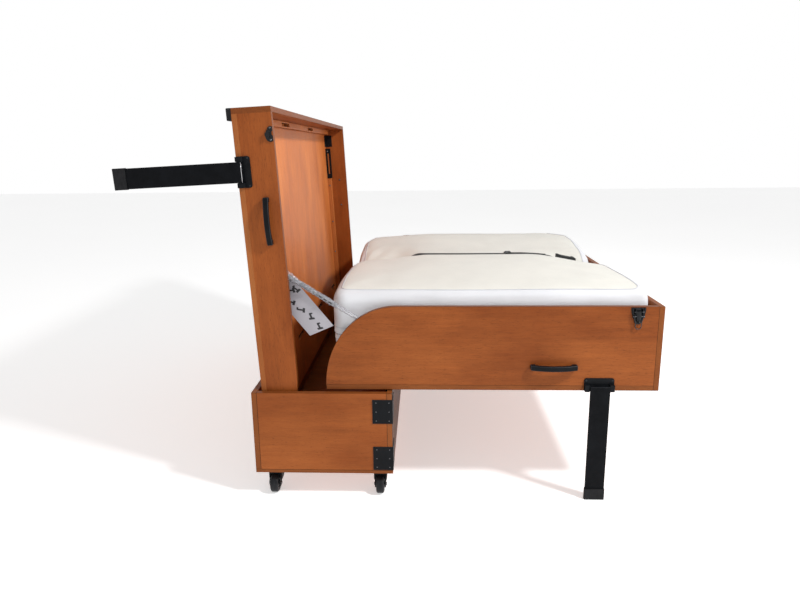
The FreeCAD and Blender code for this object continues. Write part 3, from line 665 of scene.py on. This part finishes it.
def make_layer(name, low, high, top):
    """One layer of the folded mattress, blown up a little inside its cover."""
    margin = Vector((0.0025, 0.002, 0.0))
    edges = (0.048, 0.046, 0.006) if top else (0.048, 0.006, 0.030)
    points, faces = slab(low + margin, high - margin, *edges, 0.0125)
    base = np.array([tuple(p) for p in points])
    from_end = high.x - base[:, 0]
    base[:, 0] = high.x - from_end * (0.4 + 0.6 * smoothstep(from_end / 0.12))
    share = np.clip((base[:, 2] - low.z) / (high.z - low.z), 0, 1)
    if top:
        base[:, 2] = low.z + share * (crown_height(base[:, 0], base[:, 1]) - low.z)
    else:
        base[:, 0] += 0.025 * (1 - share) * (1 - smoothstep((base[:, 0] - low.x) / 0.2))
    made = piece(name, base, faces, border_knit, "right_shell", "mattress_knit", extra=(top_knit,))
    under_strap = np.abs(base[:, 1] - valley_line(base[:, 0])) < STRAP_HALF + 0.006
    held = np.where(under_strap | (base[:, 2] < low.z + 0.004))[0]
    inflate(made, held, 4.0, 0.004)
    write_points(made, wrinkle(read_points(made), top))
    smooth = made.modifiers.new("smooth", "SUBSURF")
    smooth.levels = smooth.render_levels = 1
    bpy.context.view_layer.update()
    fine = bpy.data.meshes.new_from_object(made.evaluated_get(bpy.context.evaluated_depsgraph_get()))
    made.modifiers.clear()
    made.data = fine
    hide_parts("mattress")
    return made


def rounded_loop(low, high, inset, corner, step):
    """Points of a rounded rectangle in plan, with their outward directions."""
    x0, x1, y0, y1 = low.x + inset, high.x - inset, low.y + inset, high.y - inset
    centres = ((x1 - corner, y0 + corner, -90), (x1 - corner, y1 - corner, 0),
               (x0 + corner, y1 - corner, 90), (x0 + corner, y0 + corner, 180))
    loop = []
    for k, (cx, cy, start) in enumerate(centres):
        for part in range(9):
            angle = math.radians(start + 90 * part / 8)
            out = Vector((math.cos(angle), math.sin(angle), 0))
            loop.append((Vector((cx, cy, 0)) + out * corner, out))
        nx, ny, _ = centres[(k + 1) % 4]
        out = loop[-1][1]
        first, last = loop[-1][0], Vector((nx, ny, 0)) + out * corner
        count = round((last - first).length / step)
        loop += [(first.lerp(last, part / count), out) for part in range(1, count)]
    return loop


def make_mattress():
    upper_low = Vector((MATTRESS_LOW.x, -0.745, LAYER_TOP))
    upper_high = Vector((MATTRESS_HIGH.x, 0.745, MATTRESS_HIGH.z))
    lower_high = Vector((MATTRESS_HIGH.x, MATTRESS_HIGH.y, LAYER_TOP - 0.0005))
    upper = make_layer("mattress_upper", upper_low, upper_high, True)
    lower = make_layer("mattress_lower", MATTRESS_LOW, lower_high, False)
    middle = (upper_low + upper_high) / 2
    half = (upper_high - upper_low) / 2 - Vector((SEAM_INSET, SEAM_INSET, 0))

    def inside(centre, normal):
        reach = Vector((abs(centre.x - middle.x) - half.x + SEAM_CORNER,
                        abs(centre.y - middle.y) - half.y + SEAM_CORNER))
        outside = math.hypot(max(reach.x, 0), max(reach.y, 0))
        return normal.z > 0.2 and outside < SEAM_CORNER
    for face in upper.data.polygons:
        face.material_index = int(inside(face.center, face.normal))

    tree = BVHTree.FromObject(upper, bpy.context.evaluated_depsgraph_get())
    seam = []
    for point, _ in rounded_loop(upper_low, upper_high, SEAM_INSET, SEAM_CORNER, 0.009):
        hit = tree.ray_cast(Vector((point.x, point.y, 1.0)), Vector((0, 0, -1)))[0]
        seam.append(hit + Vector((0, 0, 0.0004)))
    points, faces = tube(seam, 0.0014, closed=True)
    piece("mattress_seam_top", points, faces, seam_thread, "right_shell", "mattress_knit")

    for label, layer, low, high, height in (
            ("upper", upper, upper_low, upper_high, LAYER_TOP + 0.024),
            ("lower", lower, MATTRESS_LOW, lower_high, LAYER_TOP - 0.028)):
        tree = BVHTree.FromObject(layer, bpy.context.evaluated_depsgraph_get())
        ring = []
        for point, out in rounded_loop(low, high, 0.0, SEAM_CORNER, 0.012):
            start = Vector((point.x, point.y, height)) + out * 0.1
            hit = tree.ray_cast(start, -out)[0]
            ring.append((hit if hit else start - out * 0.1) + out * 0.0003)
        points, faces = tube(ring, 0.0013, closed=True)
        piece(f"mattress_seam_{label}", points, faces, seam_thread, "right_shell", "mattress_knit")
    return upper


# ---------------------------------------------------------------- strap and buckle
def make_strap(upper):
    """Webbing right round the folded mattress, lying in the valley that it pulls."""
    low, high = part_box("mattress_strap")
    thick = 0.0022
    tree = BVHTree.FromObject(upper, bpy.context.evaluated_depsgraph_get())
    top = []
    for x in np.linspace(low.x + 0.03, high.x - 0.03, 120):
        line = float(valley_line(x))
        hits = [tree.ray_cast(Vector((x, line + off, 1.0)), Vector((0, 0, -1)))[0].z
                for off in (-0.014, 0, 0.014)]
        top.append(Vector((x, line, max(hits) + thick * 0.5 + 0.0004)))
    over = [top[0] + Vector((-0.018, 0, -0.006)), *top, top[-1] + Vector((0.018, 0, -0.006))]
    edge_low, edge_high = low.x + thick / 2, high.x - thick / 2
    down = [Vector((edge_high, top[-1].y * (13 - k) / 13, z))
            for k, z in enumerate(np.linspace(over[-1].z - 0.02, low.z + 0.012, 14))]
    under = [Vector((x, 0, low.z + thick / 2)) for x in np.linspace(high.x - 0.01, low.x + 0.01, 30)]
    back = [Vector((edge_low, 0, z)) for z in np.linspace(low.z + 0.012, over[0].z - 0.02, 14)]
    path = over + down + under + back

    corners = ((-1, -0.6), (-0.96, -1), (0.96, -1), (1, -0.6), (1, 0.6), (0.96, 1), (-0.96, 1), (-1, 0.6))

    def section(i):
        out = Vector((0, -1, 0)).cross(along_path(path, i, True)).normalized()
        return [ACROSS * (a * (STRAP_HALF - 0.001)) + out * (b * thick / 2) for a, b in corners]
    points, faces = sweep(path, section, closed=True)
    strap = piece("webbing_strap", points, faces, black_webbing, "right_shell", "webbing")
    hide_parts("mattress_strap")
    return path


def make_buckle(path):
    """Cam buckle: a frame round the strap, a toothed cam lever, and the strap's loose tail."""
    low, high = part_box("strap_buckle")
    middle = (low + high) / 2
    seat = min(path[:100], key=lambda p: abs(p.x - middle.x))
    base = Matrix.Translation(Vector((middle.x, 0, seat.z + 0.0012)))
    shape = Shape()
    cheek = [(-0.015, 0.0), (0.015, 0.0), (0.015, 0.004), (0.007, 0.0085), (-0.007, 0.0085), (-0.015, 0.004)]
    for side in (-1, 1):
        shape.prism(cheek, side * 0.0215 - 0.0015, side * 0.0215 + 0.0015, base)
    for x in (-0.0128, 0.0128):
        shape.prism(box_outline(x - 0.002, x + 0.002, 0.0, 0.003), -0.021, 0.021, base)
    frame_piece = formed("buckle_frame", shape, black_plastic, "right_shell", "black_plastic")
    bevel(frame_piece, 0.0006)
    lever = Shape()
    cam = [(-0.009, 0.001), (-0.005, 0.0), (0.001, 0.002), (0.010, 0.0058), (0.0125, 0.0072),
           (0.0115, 0.0090), (0.005, 0.0092), (-0.006, 0.0082), (-0.0095, 0.005)]
    lever.prism(cam, -0.0195, 0.0195, base)
    for k in range(4):
        x = 0.001 + 0.0025 * k
        lever.prism(box_outline(x, x + 0.0011, 0.009, 0.0099), -0.016, 0.016, base)
    bevel(formed("buckle_lever", lever, black_plastic, "right_shell", "black_plastic"), 0.0005)
    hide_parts("strap_buckle")
    tail = [p + Vector((0, 0.0015, 0.0032)) for p in path[:110] if middle.x + 0.012 < p.x < middle.x + 0.165]
    flat = [ACROSS * x + Vector((0, 0, z)) for x, z in box_outline(-0.018, 0.018, -0.0009, 0.0009)]
    points, faces = sweep(tail, lambda i: flat)
    loose = piece("strap_tail", points, faces, black_webbing, "right_shell", "webbing", smooth=False)
    bevel(loose, 0.0003)


def make_strap_end(path):
    """The strap's folded and stitched end, standing up from it near the end board."""
    run = [p for p in path[:122] if 0.652 < p.x < 0.730]
    first, last = run[0].x, run[-1].x
    corners = ((-1, 0.1), (-0.96, 1), (0.96, 1), (1, 0.1), (1, 0), (-1, 0))

    def section(i):
        along = (run[i].x - first) / (last - first)
        stitched = 0.0025 * math.exp(-((along - 0.08) / 0.08) ** 2)
        hemmed = 0.003 * math.exp(-((along - 0.9) / 0.07) ** 2)
        height = max(0.006, 0.668 - 0.012 * along + stitched + hemmed - run[i].z)
        return [Vector((0, a * 0.0175, 0.0014 + b * height)) for a, b in corners]
    points, faces = sweep(run, section)
    end = piece("strap_folded_end", points, faces, black_webbing, "right_shell", "webbing", smooth=False)
    bevel(end, 0.0006)


upper_layer = make_mattress()
strap_path = make_strap(upper_layer)
make_buckle(strap_path)
make_strap_end(strap_path)


# ---------------------------------------------------------------- fasteners
def screw_form(radius, height):
    """A low dome head with a cross recess, its seat at z = 0."""
    shape = Shape()
    sides = 16
    turns = [(math.cos(2 * math.pi * k / sides), math.sin(2 * math.pi * k / sides)) for k in range(sides)]
    for out, up in ((1.0, 0.0), (0.97, 0.45), (0.75, 0.85), (0.5, 1.0)):
        shape.points += [Vector((radius * out * x, radius * out * y, height * up)) for x, y in turns]
    arm = radius * 0.46
    for k, (x, y) in enumerate(turns):
        reach = arm * {0: 1.0, 2: 0.32}.get(k % 4, 0.42)
        shape.points.append(Vector((reach * x, reach * y, height)))
    mouth = 4 * sides
    for p in shape.points[mouth:]:
        shape.points.append(Vector((p.x * 0.7, p.y * 0.7, height * 0.25)))
    for row in range(5):
        for k in range(sides):
            a, b = row * sides + k, row * sides + (k + 1) % sides
            shape.faces.append([a, b, b + sides, a + sides])
    shape.faces.append([mouth + sides + k for k in range(sides)])
    shape.faces.append(list(range(sides))[::-1])
    return shape


def head_matrix(point, out, spin=0.0):
    """Puts a head's seat at a point, facing out."""
    facing = Vector(out).to_track_quat("Z", "Y").to_matrix().to_4x4()
    return Matrix.Translation(point) @ facing @ Matrix.Rotation(spin, 4, "Z")


def fasteners(name, body, places, radius, height, material, stands_for=()):
    """One piece holding many screw heads, each turned a little differently."""
    form, shape = screw_form(radius, height), Shape()
    for number, (point, out) in enumerate(places):
        shape.add(form.points, form.faces, head_matrix(point, out, 0.7 * number))
    made = formed(name, shape, material, body, "zinc_steel", smooth=False)
    if stands_for:
        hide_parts(*stands_for)


def corner_screws():
    """Two rows of screws in each face of the base's corner plates."""
    low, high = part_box("base_corner_plates")
    floor_low, wall_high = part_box("base_floor")[0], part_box("base_right_wall")[1]
    rows, columns = (0.010, 0.0405, 0.071), (0.010, 0.051)
    places = []
    for _, side in SIDES:
        face = high.y if side > 0 else low.y
        for bottom in (wall_high.z - 0.102, floor_low.z + 0.014):
            for row in rows:
                for column in columns:
                    places.append((Vector((wall_high.x - column, face, bottom + row)), (0, side, 0)))
                    inset = wall_high.y * side - side * column
                    places.append((Vector((high.x, inset, bottom + row)), (1, 0, 0)))
    fasteners("corner_plate_screws", "base", places, 0.0019, 0.0009, dark_zinc, ("base_screws",))


def shell_screws():
    """Screws in the battens and the handle bolts inside the upright shell."""
    inner_side = board_side - BOARD
    places, bolts = [], []
    for _, side in SIDES:
        for height, lift in ((0.735, 0.0032), (0.55, 0), (0.35, 0), (0.18, 0)):
            point = leaned @ Vector((0.022, side * (inner_side - 0.020 - lift), height))
            places.append((point, (0, -side, 0)))
        for offset in (-0.069, 0.069):
            along = HANDLE_ALONG + offset - (0.028 if side > 0 else 0.006)
            point = leaned @ Vector((HANDLE_UP - AXIS_INSET, side * inner_side, along))
            bolts.append((point, (0, -side, 0)))
    fasteners("batten_screws", "left_shell", places, 0.004, 0.0012, dark_zinc, ("left_screws",))
    fasteners("handle_bolts", "left_shell", bolts, 0.0048, 0.0024, dark_zinc)


def bracket_rivets(shell):
    """Two rivets in each leg bracket of a shell."""
    places = []
    for _, side in SIDES:
        place = station(shell, side, LEG_ALONG, 0)
        out = place.to_3x3() @ Vector((0, -1, 0))
        for x in (-0.0405, 0.0405):
            places.append((place @ Vector((x, -0.003, 0.0345)), out))
    fasteners(f"{shell}_bracket_rivets", f"{shell}_shell", places, 0.0032, 0.0012, black_wear_and_sheen)


def leg_edges():
    """The bright rolled edge at the hinged end of the upright shell's legs."""
    for end, side in SIDES:
        place = station("left", side, LEG_ALONG, 0)
        run = [place @ Vector((x, -0.0206, 0.0186)) for x in (-0.029, -0.010, 0.010, 0.029)]
        points, faces = tube(run, 0.0011)
        piece(f"leg_edge_{end}", points, faces, zinc, f"left_leg_{end}", "zinc_steel")


corner_screws()
shell_screws()
leg_edges()
bracket_rivets("left")
bracket_rivets("right")


# ---------------------------------------------------------------- draw latches and keepers
LATCH_LIFT = -0.0065                     # of the lever's pivot, out from the board
LEVER_PIVOT_UP, CROSS_PIN_UP = 0.022, 0.008
PLATE = 0.0022


def tapered(width_top, width_low, top, low, corner):
    """Outline of a latch plate, wide at the top and rounded at its lower end; widths are halves."""
    side = []
    for k in range(7):
        t = k / 6
        half = width_top + (width_low - width_top) * float(smoothstep(t))
        side.append((half, top - corner + (low + corner - top) * t))
    foot = [math.pi * k / 8 for k in range(1, 8)]
    tip = [(width_low * math.cos(a), low + corner * 0.6 - corner * math.sin(a)) for a in foot]
    return [(-width_top, top), (width_top, top), *side, *tip, *[(-x, z) for x, z in reversed(side)]]


def make_latch_body(end, place):
    """The latch's plate, with two ears for the lever and two stiffening ribs, and the lever's pin."""
    shape = Shape()
    shape.prism(tapered(0.022, 0.011, 0.035, -0.015, 0.009), 0.0, PLATE, place)
    for x in (-0.0115, 0.0095):
        shape.prism(box_outline(x, x + 0.002, 0.013, 0.031), PLATE, 0.0112, place)
    for x in (-0.0185, 0.0155):
        shape.prism(box_outline(x, x + 0.003, 0.002, 0.0335), PLATE, 0.0048, place)
    body = formed(f"latch_body_{end}", shape, gloss_black, "right_shell", "black_steel")
    bevel(body, 0.0007)
    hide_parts("latch_plates")
    pivot = place @ Matrix.Translation((0, LATCH_LIFT, LEVER_PIVOT_UP))
    pin = headed_pin(0.002, 0.003, 0.0118, 0.0135, pivot)
    formed(f"latch_pin_{end}", pin, dark_zinc, "right_shell", "zinc_steel", smooth=False)


def make_lever(end, place):
    """The lever that is thrown: a narrowing, bowed sheet that curls out at its tip, and its cross pin."""
    rows, columns = np.linspace(0, 1, 17), np.linspace(-1, 1, 9)

    def skin(offset):
        made = []
        for t in rows:
            half = 0.0078 * (1 - 0.32 * t ** 2)
            curl = 0.004 * smoothstep((t - 0.8) / 0.2)
            for c in columns:
                bow = 0.0018 * (1 - c * c)
                made.append((c * half, LATCH_LIFT - 0.0005 - bow - curl + offset, 0.0245 - 0.0365 * t))
        return made
    lever = Shape()
    lever.add(skin(-0.0014) + skin(0.0008), sheet_faces(len(rows), len(columns)), place)
    cover = formed(f"latch_lever_cover_{end}", lever, gloss_black, f"latch_lever_{end}", "black_steel")
    bevel(cover, 0.0004)
    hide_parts(f"latch_lever_{end}")
    pivot = place @ Matrix.Translation((0, LATCH_LIFT, CROSS_PIN_UP))
    pin = headed_pin(0.0015, 0.0024, 0.0148, 0.0165, pivot, tip=0.0004)
    formed(f"latch_cross_pin_{end}", pin, dark_zinc, f"latch_lever_{end}", "zinc_steel", smooth=False)


def make_bail(end, place):
    """A bent wire loop with an eye round each end of the lever's cross pin."""
    pivot = place @ Matrix.Translation((0, LATCH_LIFT, 0))
    half, low, bend = 0.0088, -0.0315, 0.0075
    shank = ((0.0128, 0.0065), (0.0122, 0.0), (half, -0.013), (half, low + bend))
    right = [Vector((x, 0, z)) for x, z in shank]
    for step in range(1, 7):
        angle = math.pi / 2 * step / 6
        right.append(Vector((half - bend + bend * math.cos(angle), 0, low + bend - bend * math.sin(angle))))
    shape = Shape()
    shape.add(*tube(right + [Vector((-p.x, 0, p.z)) for p in reversed(right)], 0.00135), pivot)
    for x in (-0.013, 0.013):
        eye = pivot @ Matrix.Translation((x, 0, CROSS_PIN_UP)) @ Matrix.Rotation(math.pi / 2, 4, "Y")
        shape.lathe([(0.0017, -0.0013), (0.0034, -0.0013), (0.0034, 0.0013), (0.0017, 0.0013)], eye, 20)
    wire = formed(f"bail_wire_{end}", shape, bail_steel, f"latch_bail_{end}", "black_steel")
    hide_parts(f"latch_bail_{end}")


KEEPER_OUTLINE = [(0.0205, 0.0255), (0.0225, 0.0165), (0.0205, 0.0105), (0.0165, 0.0065),
                  (0.0085, 0.0035), (0.0015, 0.0012), (-0.0045, 0.0026), (-0.0085, 0.0078),
                  (-0.0145, 0.0106), (-0.0195, 0.0118), (-0.0225, 0.0175), (-0.0215, 0.0255),
                  (-0.0110, 0.0255), (-0.0060, 0.0222), (0.0020, 0.0222), (0.0060, 0.0255)]


def make_keeper(end, side):
    """A cast catch plate with a rounded hook for the wire bail."""
    place = station("left", side, LATCH_ALONG, KEEPER_UP)
    shape = Shape()
    shape.prism(KEEPER_OUTLINE, 0.0, 0.0035, place)
    rim = [(0.6 * x - 0.001, 0.6 * (z - 0.014) + 0.013) for x, z in KEEPER_OUTLINE]
    shape.prism(rim, 0.0035, 0.0060, place)
    shape.prism(box_outline(-0.0105, 0.0105, 0.0120, 0.0160), 0.0060, 0.0088, place)
    shape.prism(box_outline(-0.0110, 0.0110, 0.0092, 0.0160), 0.0088, 0.0108, place)
    body = formed(f"keeper_{end}", shape, gloss_black, "left_shell", "black_steel")
    bevel(body, 0.0009, 3, 30)
    for x in (0.0165, -0.0180):
        dome = Shape()
        seat = place @ Matrix.Translation((x, -0.0035, 0.0185)) @ Matrix.Rotation(math.pi / 2, 4, "X")
        dome.lathe([(0.0030, 0.0), (0.0028, 0.0008), (0.0018, 0.0014), (0.0006, 0.0016)], seat, 20)
        which = "upper" if x > 0 else "lower"
        formed(f"keeper_rivet_{end}_{which}", dome, dark_zinc, "left_shell", "zinc_steel")
    return body


for end, side in SIDES:
    latch_place = station("right", side, LATCH_ALONG, LATCH_UP)
    make_latch_body(end, latch_place)
    make_lever(end, latch_place)
    make_bail(end, latch_place)
catches = [make_keeper(end, side) for end, side in SIDES]
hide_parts("latch_keepers")


# ---------------------------------------------------------------- casters
CHEEK = 0.0034                           # thickness of a fork's cheek
HOOD_HALF = 0.0215


def make_wheel(end, hand, axle, radius, half):
    """A tyre with rounded shoulders and a hub dished on both sides."""
    tyre = Shape()
    shoulder = [(radius - 0.006 + 0.006 * math.cos(a), (half - 0.0065) + 0.0065 * math.sin(a))
                for a in np.linspace(0, math.pi / 2, 6)]
    tyre.lathe([(radius - 0.012, -half + 0.003), (radius - 0.011, -half + 0.001),
                *[(r, -h) for r, h in reversed(shoulder)], *shoulder,
                (radius - 0.011, half - 0.001), (radius - 0.012, half - 0.003)], axle, 48)
    made = formed(f"tyre_{end}_{hand}", tyre, tyre_rubber, f"wheel_{end}_{hand}", "caster_tread")
    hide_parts(f"caster_wheel_{end}_{hand}")
    hub = Shape()
    dish = [(0.0052, half + 0.0005), (0.0075, half + 0.0005), (0.0085, half - 0.002),
            (radius - 0.015, half - 0.004), (radius - 0.0115, half - 0.0005),
            (radius - 0.0105, half - 0.0045)]
    for flip in (1, -1):
        hub.lathe([(r, flip * h) for r, h in dish], axle, 36)
    bevel(formed(f"hub_{end}_{hand}", hub, hub_plastic, f"wheel_{end}_{hand}", "caster_tread"), 0.0004)


def make_fork(end, hand, roll, swivel, top, half):
    """Two pressed cheeks under a ball race, with a flared hood over the wheel."""
    centre = Matrix.Translation((swivel.x, swivel.y, 0))
    turned = centre @ Matrix.Rotation(math.pi / 2, 4, "Z")
    trail, cheek_x = roll.y - swivel.y, half + 0.0016
    under = top - 0.0095
    foot = [math.radians(200 + 140 * k / 8) for k in range(9)]
    cheek = [(trail + 0.0125 * math.cos(a), roll.z + 0.0125 * math.sin(a)) for a in foot]
    cheek += [(trail + 0.0145, roll.z + 0.010), (0.012, top - 0.022), (0.0185, top - 0.0125), (0.0185, under),
              (-0.0185, under), (-0.0215, top - 0.014), (trail - 0.0135, roll.z + 0.012)]
    fork = Shape()
    for side in (-1, 1):
        inner, outer = sorted((side * cheek_x, side * (cheek_x + CHEEK)))
        fork.prism(cheek, inner, outer, turned)
    fork.prism(box_outline(-0.0205, 0.0185, top - 0.0135, under), -cheek_x - 0.001, cheek_x + 0.001, turned)
    flare = [(half + 0.0016, 0.034), (half + 0.0040, 0.029), (HOOD_HALF, 0.046), (HOOD_HALF, top - 0.0100),
             (0.0180, top - 0.0100), (0.0180, 0.048)]
    for side in (-1, 1):
        fork.prism([(side * x, z) for x, z in flare][::side], -0.017, HOOD_HALF, centre)
    fork.prism(box_outline(-HOOD_HALF, HOOD_HALF, 0.046, top - 0.010), HOOD_HALF, HOOD_HALF + 0.002, centre)
    fork.lathe([(0.006, top - 0.0105), (0.0185, top - 0.0105), (0.0212, top - 0.0085), (0.0214, top - 0.004),
                (0.0195, top - 0.001), (0.006, top)], centre, 40)
    made = formed(f"fork_{end}_{hand}", fork, black_steel, f"caster_{end}_{hand}", "black_steel",
                  extra=(black_wear_and_sheen,))
    bevel(made, 0.0006)
    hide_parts(f"caster_fork_{end}_{hand}")


def make_caster(end, hand):
    """A fork, its wheel and the bolt that is the axle, placed by the caster's two joints."""
    roll = Vector(joints[f"roll_{end}_{hand}"]["pos_m"])
    swivel = Vector(joints[f"swivel_{end}_{hand}"]["pos_m"])
    wheel_low, wheel_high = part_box(f"caster_wheel_{end}_{hand}")
    radius, half = roll.z - wheel_low.z, (wheel_high.x - wheel_low.x) / 2
    axle = Matrix.Translation(roll) @ Matrix.Rotation(math.pi / 2, 4, "Y")
    make_wheel(end, hand, axle, radius, half)
    make_fork(end, hand, roll, swivel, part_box(f"caster_fork_{end}_{hand}")[1].z, half)
    reach = half + 0.0016 + CHEEK
    bolt = Shape()
    bolt.lathe([(0.001, -reach - 0.003), (0.0058, -reach - 0.003), (0.0062, -reach), (0.0038, -reach),
                (0.0038, reach), (0.0062, reach), (0.0062, reach + 0.003), (0.001, reach + 0.003)], axle, 6)
    formed(f"axle_bolt_{end}_{hand}", bolt, dark_zinc, f"caster_{end}_{hand}", "zinc_steel", smooth=False)


for end, _ in SIDES:
    for hand in ("left", "right"):
        make_caster(end, hand)


# ---------------------------------------------------------------- strut sleeve and card
TUBE_RADIUS_CLEAR = 0.0076               # the film's side next to the card lies flat on the tube


def make_sleeve():
    """Crinkled packing film, in two lengths: one on the near strut's tube and one on its rod."""
    start = Vector(joints["strut_cylinder_pivot"]["pos_m"])
    direction = Vector(joints["strut_rod_slide"]["axis"])
    low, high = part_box("right_strut_stud")
    length = ((low + high) / 2 - start).dot(direction)
    up = ACROSS.cross(direction).normalized()
    if up.z < 0:
        up = -up

    def skin(name, body, first, last, size, rings, sides):
        step = (last - first) / (rings - 1)
        shift = 9 * body.count("rod")

        def section(i):
            s = first + step * i
            tall, thin = size(s)
            ring = []
            for k in range(sides):
                a = 2 * math.pi * k / sides
                crease = noise.noise(Vector((s * 70, math.cos(a) * 1.6, math.sin(a) * 1.6 + shift)))
                fold = noise.noise(Vector((s * 160 + 4, math.cos(a) * 3.5, math.sin(a) * 3.5)))
                r_up = tall * (1 + 0.30 * crease + 0.16 * fold)
                r_out = thin * (1 + 0.10 * crease) if math.cos(a) > 0 else min(thin, TUBE_RADIUS_CLEAR)
                ring.append(up * (r_up * math.sin(a)) - ACROSS * (r_out * math.cos(a)))
            return ring
        points, faces = sweep([start + direction * (first + step * k) for k in range(rings)], section)
        open_ended = faces[:-2]
        piece(name, points, open_ended, clear_film, body, "black_plastic")

    def tube_size(s):
        bunched = 1 - smoothstep((s + 0.012) / 0.085)
        return 0.0090 + 0.0125 * bunched, 0.0088
    skin("film_on_tube", "strut_cylinder", -0.024, 0.212, tube_size, 90, 24)
    skin("film_on_rod", "strut_rod", 0.19, length + 0.006, lambda s: (0.0068, 0.0066), 52, 20)
    turn = Matrix((direction, ACROSS, up)).transposed().to_4x4()
    for number, s in enumerate((0.150, 0.168, 0.186)):
        mark = Shape()
        mark.prism(box_outline(-0.0052, 0.0052, -0.0019, 0.0019), 0.0094, 0.0097,
                   Matrix.Translation(start + direction * s) @ turn)
        formed(f"film_mark_{number}", mark, card_ink, "strut_cylinder", "black_plastic", smooth=False)


CARD_DOWN = Vector((0.127, 0, -0.161))   # the card's long edge
CARD_ACROSS = Vector((0.0765, 0, 0.0335))
CARD_LOWEST = (-0.2701, 0.532)
CARD_RATIO = 2.4                         # of its length to its width


def make_card():
    """A printed card, slightly curled, with plain pictograms and grey lines."""
    low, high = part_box("instruction_card")
    origin = Vector((CARD_LOWEST[0], low.y, CARD_LOWEST[1])) - CARD_DOWN

    def at(s, t, lift=0.0):
        """A point on the card, s down its length and t across it, both from 0 to 1."""
        curl = 0.0008 * (s - 0.45) ** 2 + 0.0004 * (t - 0.5) ** 2
        return origin + CARD_DOWN * s + CARD_ACROSS * t + Vector((0, 0.0008 + curl - lift, 0))

    def patch(name, corners, lift, thick, material, steps):
        """A thin curved sheet over a four-cornered region of the card."""
        a, b, c, d = [Vector(corner) for corner in corners]
        shares = [k / steps for k in range(steps + 1)]
        points = []
        for depth in (lift + thick, lift):
            for u in shares:
                for w in shares:
                    place = a.lerp(b, w).lerp(d.lerp(c, w), u)
                    points.append(at(place.x, place.y, depth))
        faces = sheet_faces(steps + 1, steps + 1)
        return piece(name, points, faces, material, "left_shell", "card", smooth=False)

    card = patch("card_sheet", ((0, 0), (0, 1), (1, 1), (1, 0)), 0.0, 0.0006, card_stock, 18)
    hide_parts("instruction_card")
    figures = ((0.21, 0.80, 0.3), (0.20, 0.60, 1.2), (0.37, 0.31, 0.7), (0.55, 0.40, 0.9), (0.71, 0.55, -0.3),
               (0.91, 0.54, -0.2))
    strokes = ((0.0, 0.0, 0.10, 0.030), (0.046, 0.0, 0.034, 0.085), (-0.046, 0.016, 0.026, 0.045))
    patches = [(s, t, *stroke, turn, card_ink) for s, t, turn in figures for stroke in strokes]
    patches += [(0.30 + 0.020 * k, 0.55, 0, 0, 0.004, 0.24, 0.0, card_grey) for k in range(4)]
    patches += [(0.60 + 0.020 * k, 0.72, 0, 0, 0.004, 0.14, 0.0, card_grey) for k in range(3)]
    for number, (s, t, ds, dt, length, width, turn, ink) in enumerate(patches):
        corners = []
        for u, w in ((-1, -1), (-1, 1), (1, 1), (1, -1)):
            x, y = ds + u * length / 2, dt + w * width / 2
            corners.append((s + x * math.cos(turn) - y * math.sin(turn),
                            t + CARD_RATIO * (x * math.sin(turn) + y * math.cos(turn))))
        patch(f"card_mark_{number}", corners, 0.0006, 0.0002, ink, 3)


make_sleeve()
make_card()


# ---------------------------------------------------------------- floor, lights and camera
def make_key_light():
    """One high lamp on the right, in front of the bed."""
    place, aim = Vector((2.4, -1.9, 3.1)), Vector((-0.2, 0, 0.6))
    lamp = bpy.data.lights.new("key", "AREA")
    lamp.shape = "RECTANGLE"
    lamp.size = lamp.size_y = 0.35
    lamp.energy = 118
    holder = bpy.data.objects.new("key", lamp)
    holder.location = place
    holder.rotation_euler = (aim - place).to_track_quat("-Z", "Y").to_euler()
    scene.collection.objects.link(holder)


def make_floor():
    half = 14.0
    mesh = bpy.data.meshes.new("floor")
    mesh.from_pydata([(x, y, 0) for x, y in box_outline(-half, half, -half, half)], [], [(0, 1, 2, 3)])
    g = Graph("pale_floor")
    cloudy = g.noise(g.place(), 0.8, 3)
    mesh.materials.append(g.surface(Base_Color=g.ramp(cloudy, (0.3, 0.93), (0.7, 0.95)), Roughness=0.9,
                                    Specular_IOR_Level=0.1, Emission_Color=(1, 1, 1, 1),
                                    Emission_Strength=0.45))
    ground = bpy.data.objects.new("floor", mesh)
    scene.collection.objects.link(ground)


def make_sky():
    """A bright horizon all round, darker overhead."""
    world = bpy.data.worlds.new("studio")
    world.use_nodes = True
    tree = world.node_tree
    heights = tree.nodes.new("ShaderNodeSeparateXYZ")
    tree.links.new(tree.nodes.new("ShaderNodeTexCoord").outputs["Generated"], heights.inputs[0])
    sky = tree.nodes.new("ShaderNodeValToRGB")
    tree.links.new(heights.outputs["Z"], sky.inputs["Fac"])
    for stop, position, grey in zip(sky.color_ramp.elements, (0.24, 0.55), (1, 0.38)):
        stop.position = position
        stop.color = (grey, grey, grey, 1)
    tree.links.new(sky.outputs["Color"], tree.nodes["Background"].inputs["Color"])
    scene.world = world


def make_camera():
    """The photograph's viewpoint: a little right of the base, just above the upright shell's middle."""
    heading, pitch, roll = math.radians(-2.3564), math.radians(12.0749), math.radians(0.6466)
    flat = math.cos(pitch)
    ahead = Vector((math.sin(heading) * flat, math.cos(heading) * flat, -math.sin(pitch)))
    level = Vector((math.cos(heading), -math.sin(heading), 0))
    down = ahead.cross(level)
    right = math.cos(roll) * level + math.sin(roll) * down
    lower = -math.sin(roll) * level + math.cos(roll) * down
    data = bpy.data.cameras.new("camera")
    data.lens = 26.502
    data.shift_y = -0.03
    holder = bpy.data.objects.new("camera", data)
    turn = Matrix((right, -lower, -ahead)).transposed().to_4x4()
    holder.matrix_world = Matrix.Translation((0.0932, -2.5370, 1.1093)) @ turn
    scene.collection.objects.link(holder)
    scene.camera = holder


make_floor()
make_sky()
make_key_light()
make_camera()
scene.view_settings.view_transform = "Standard"
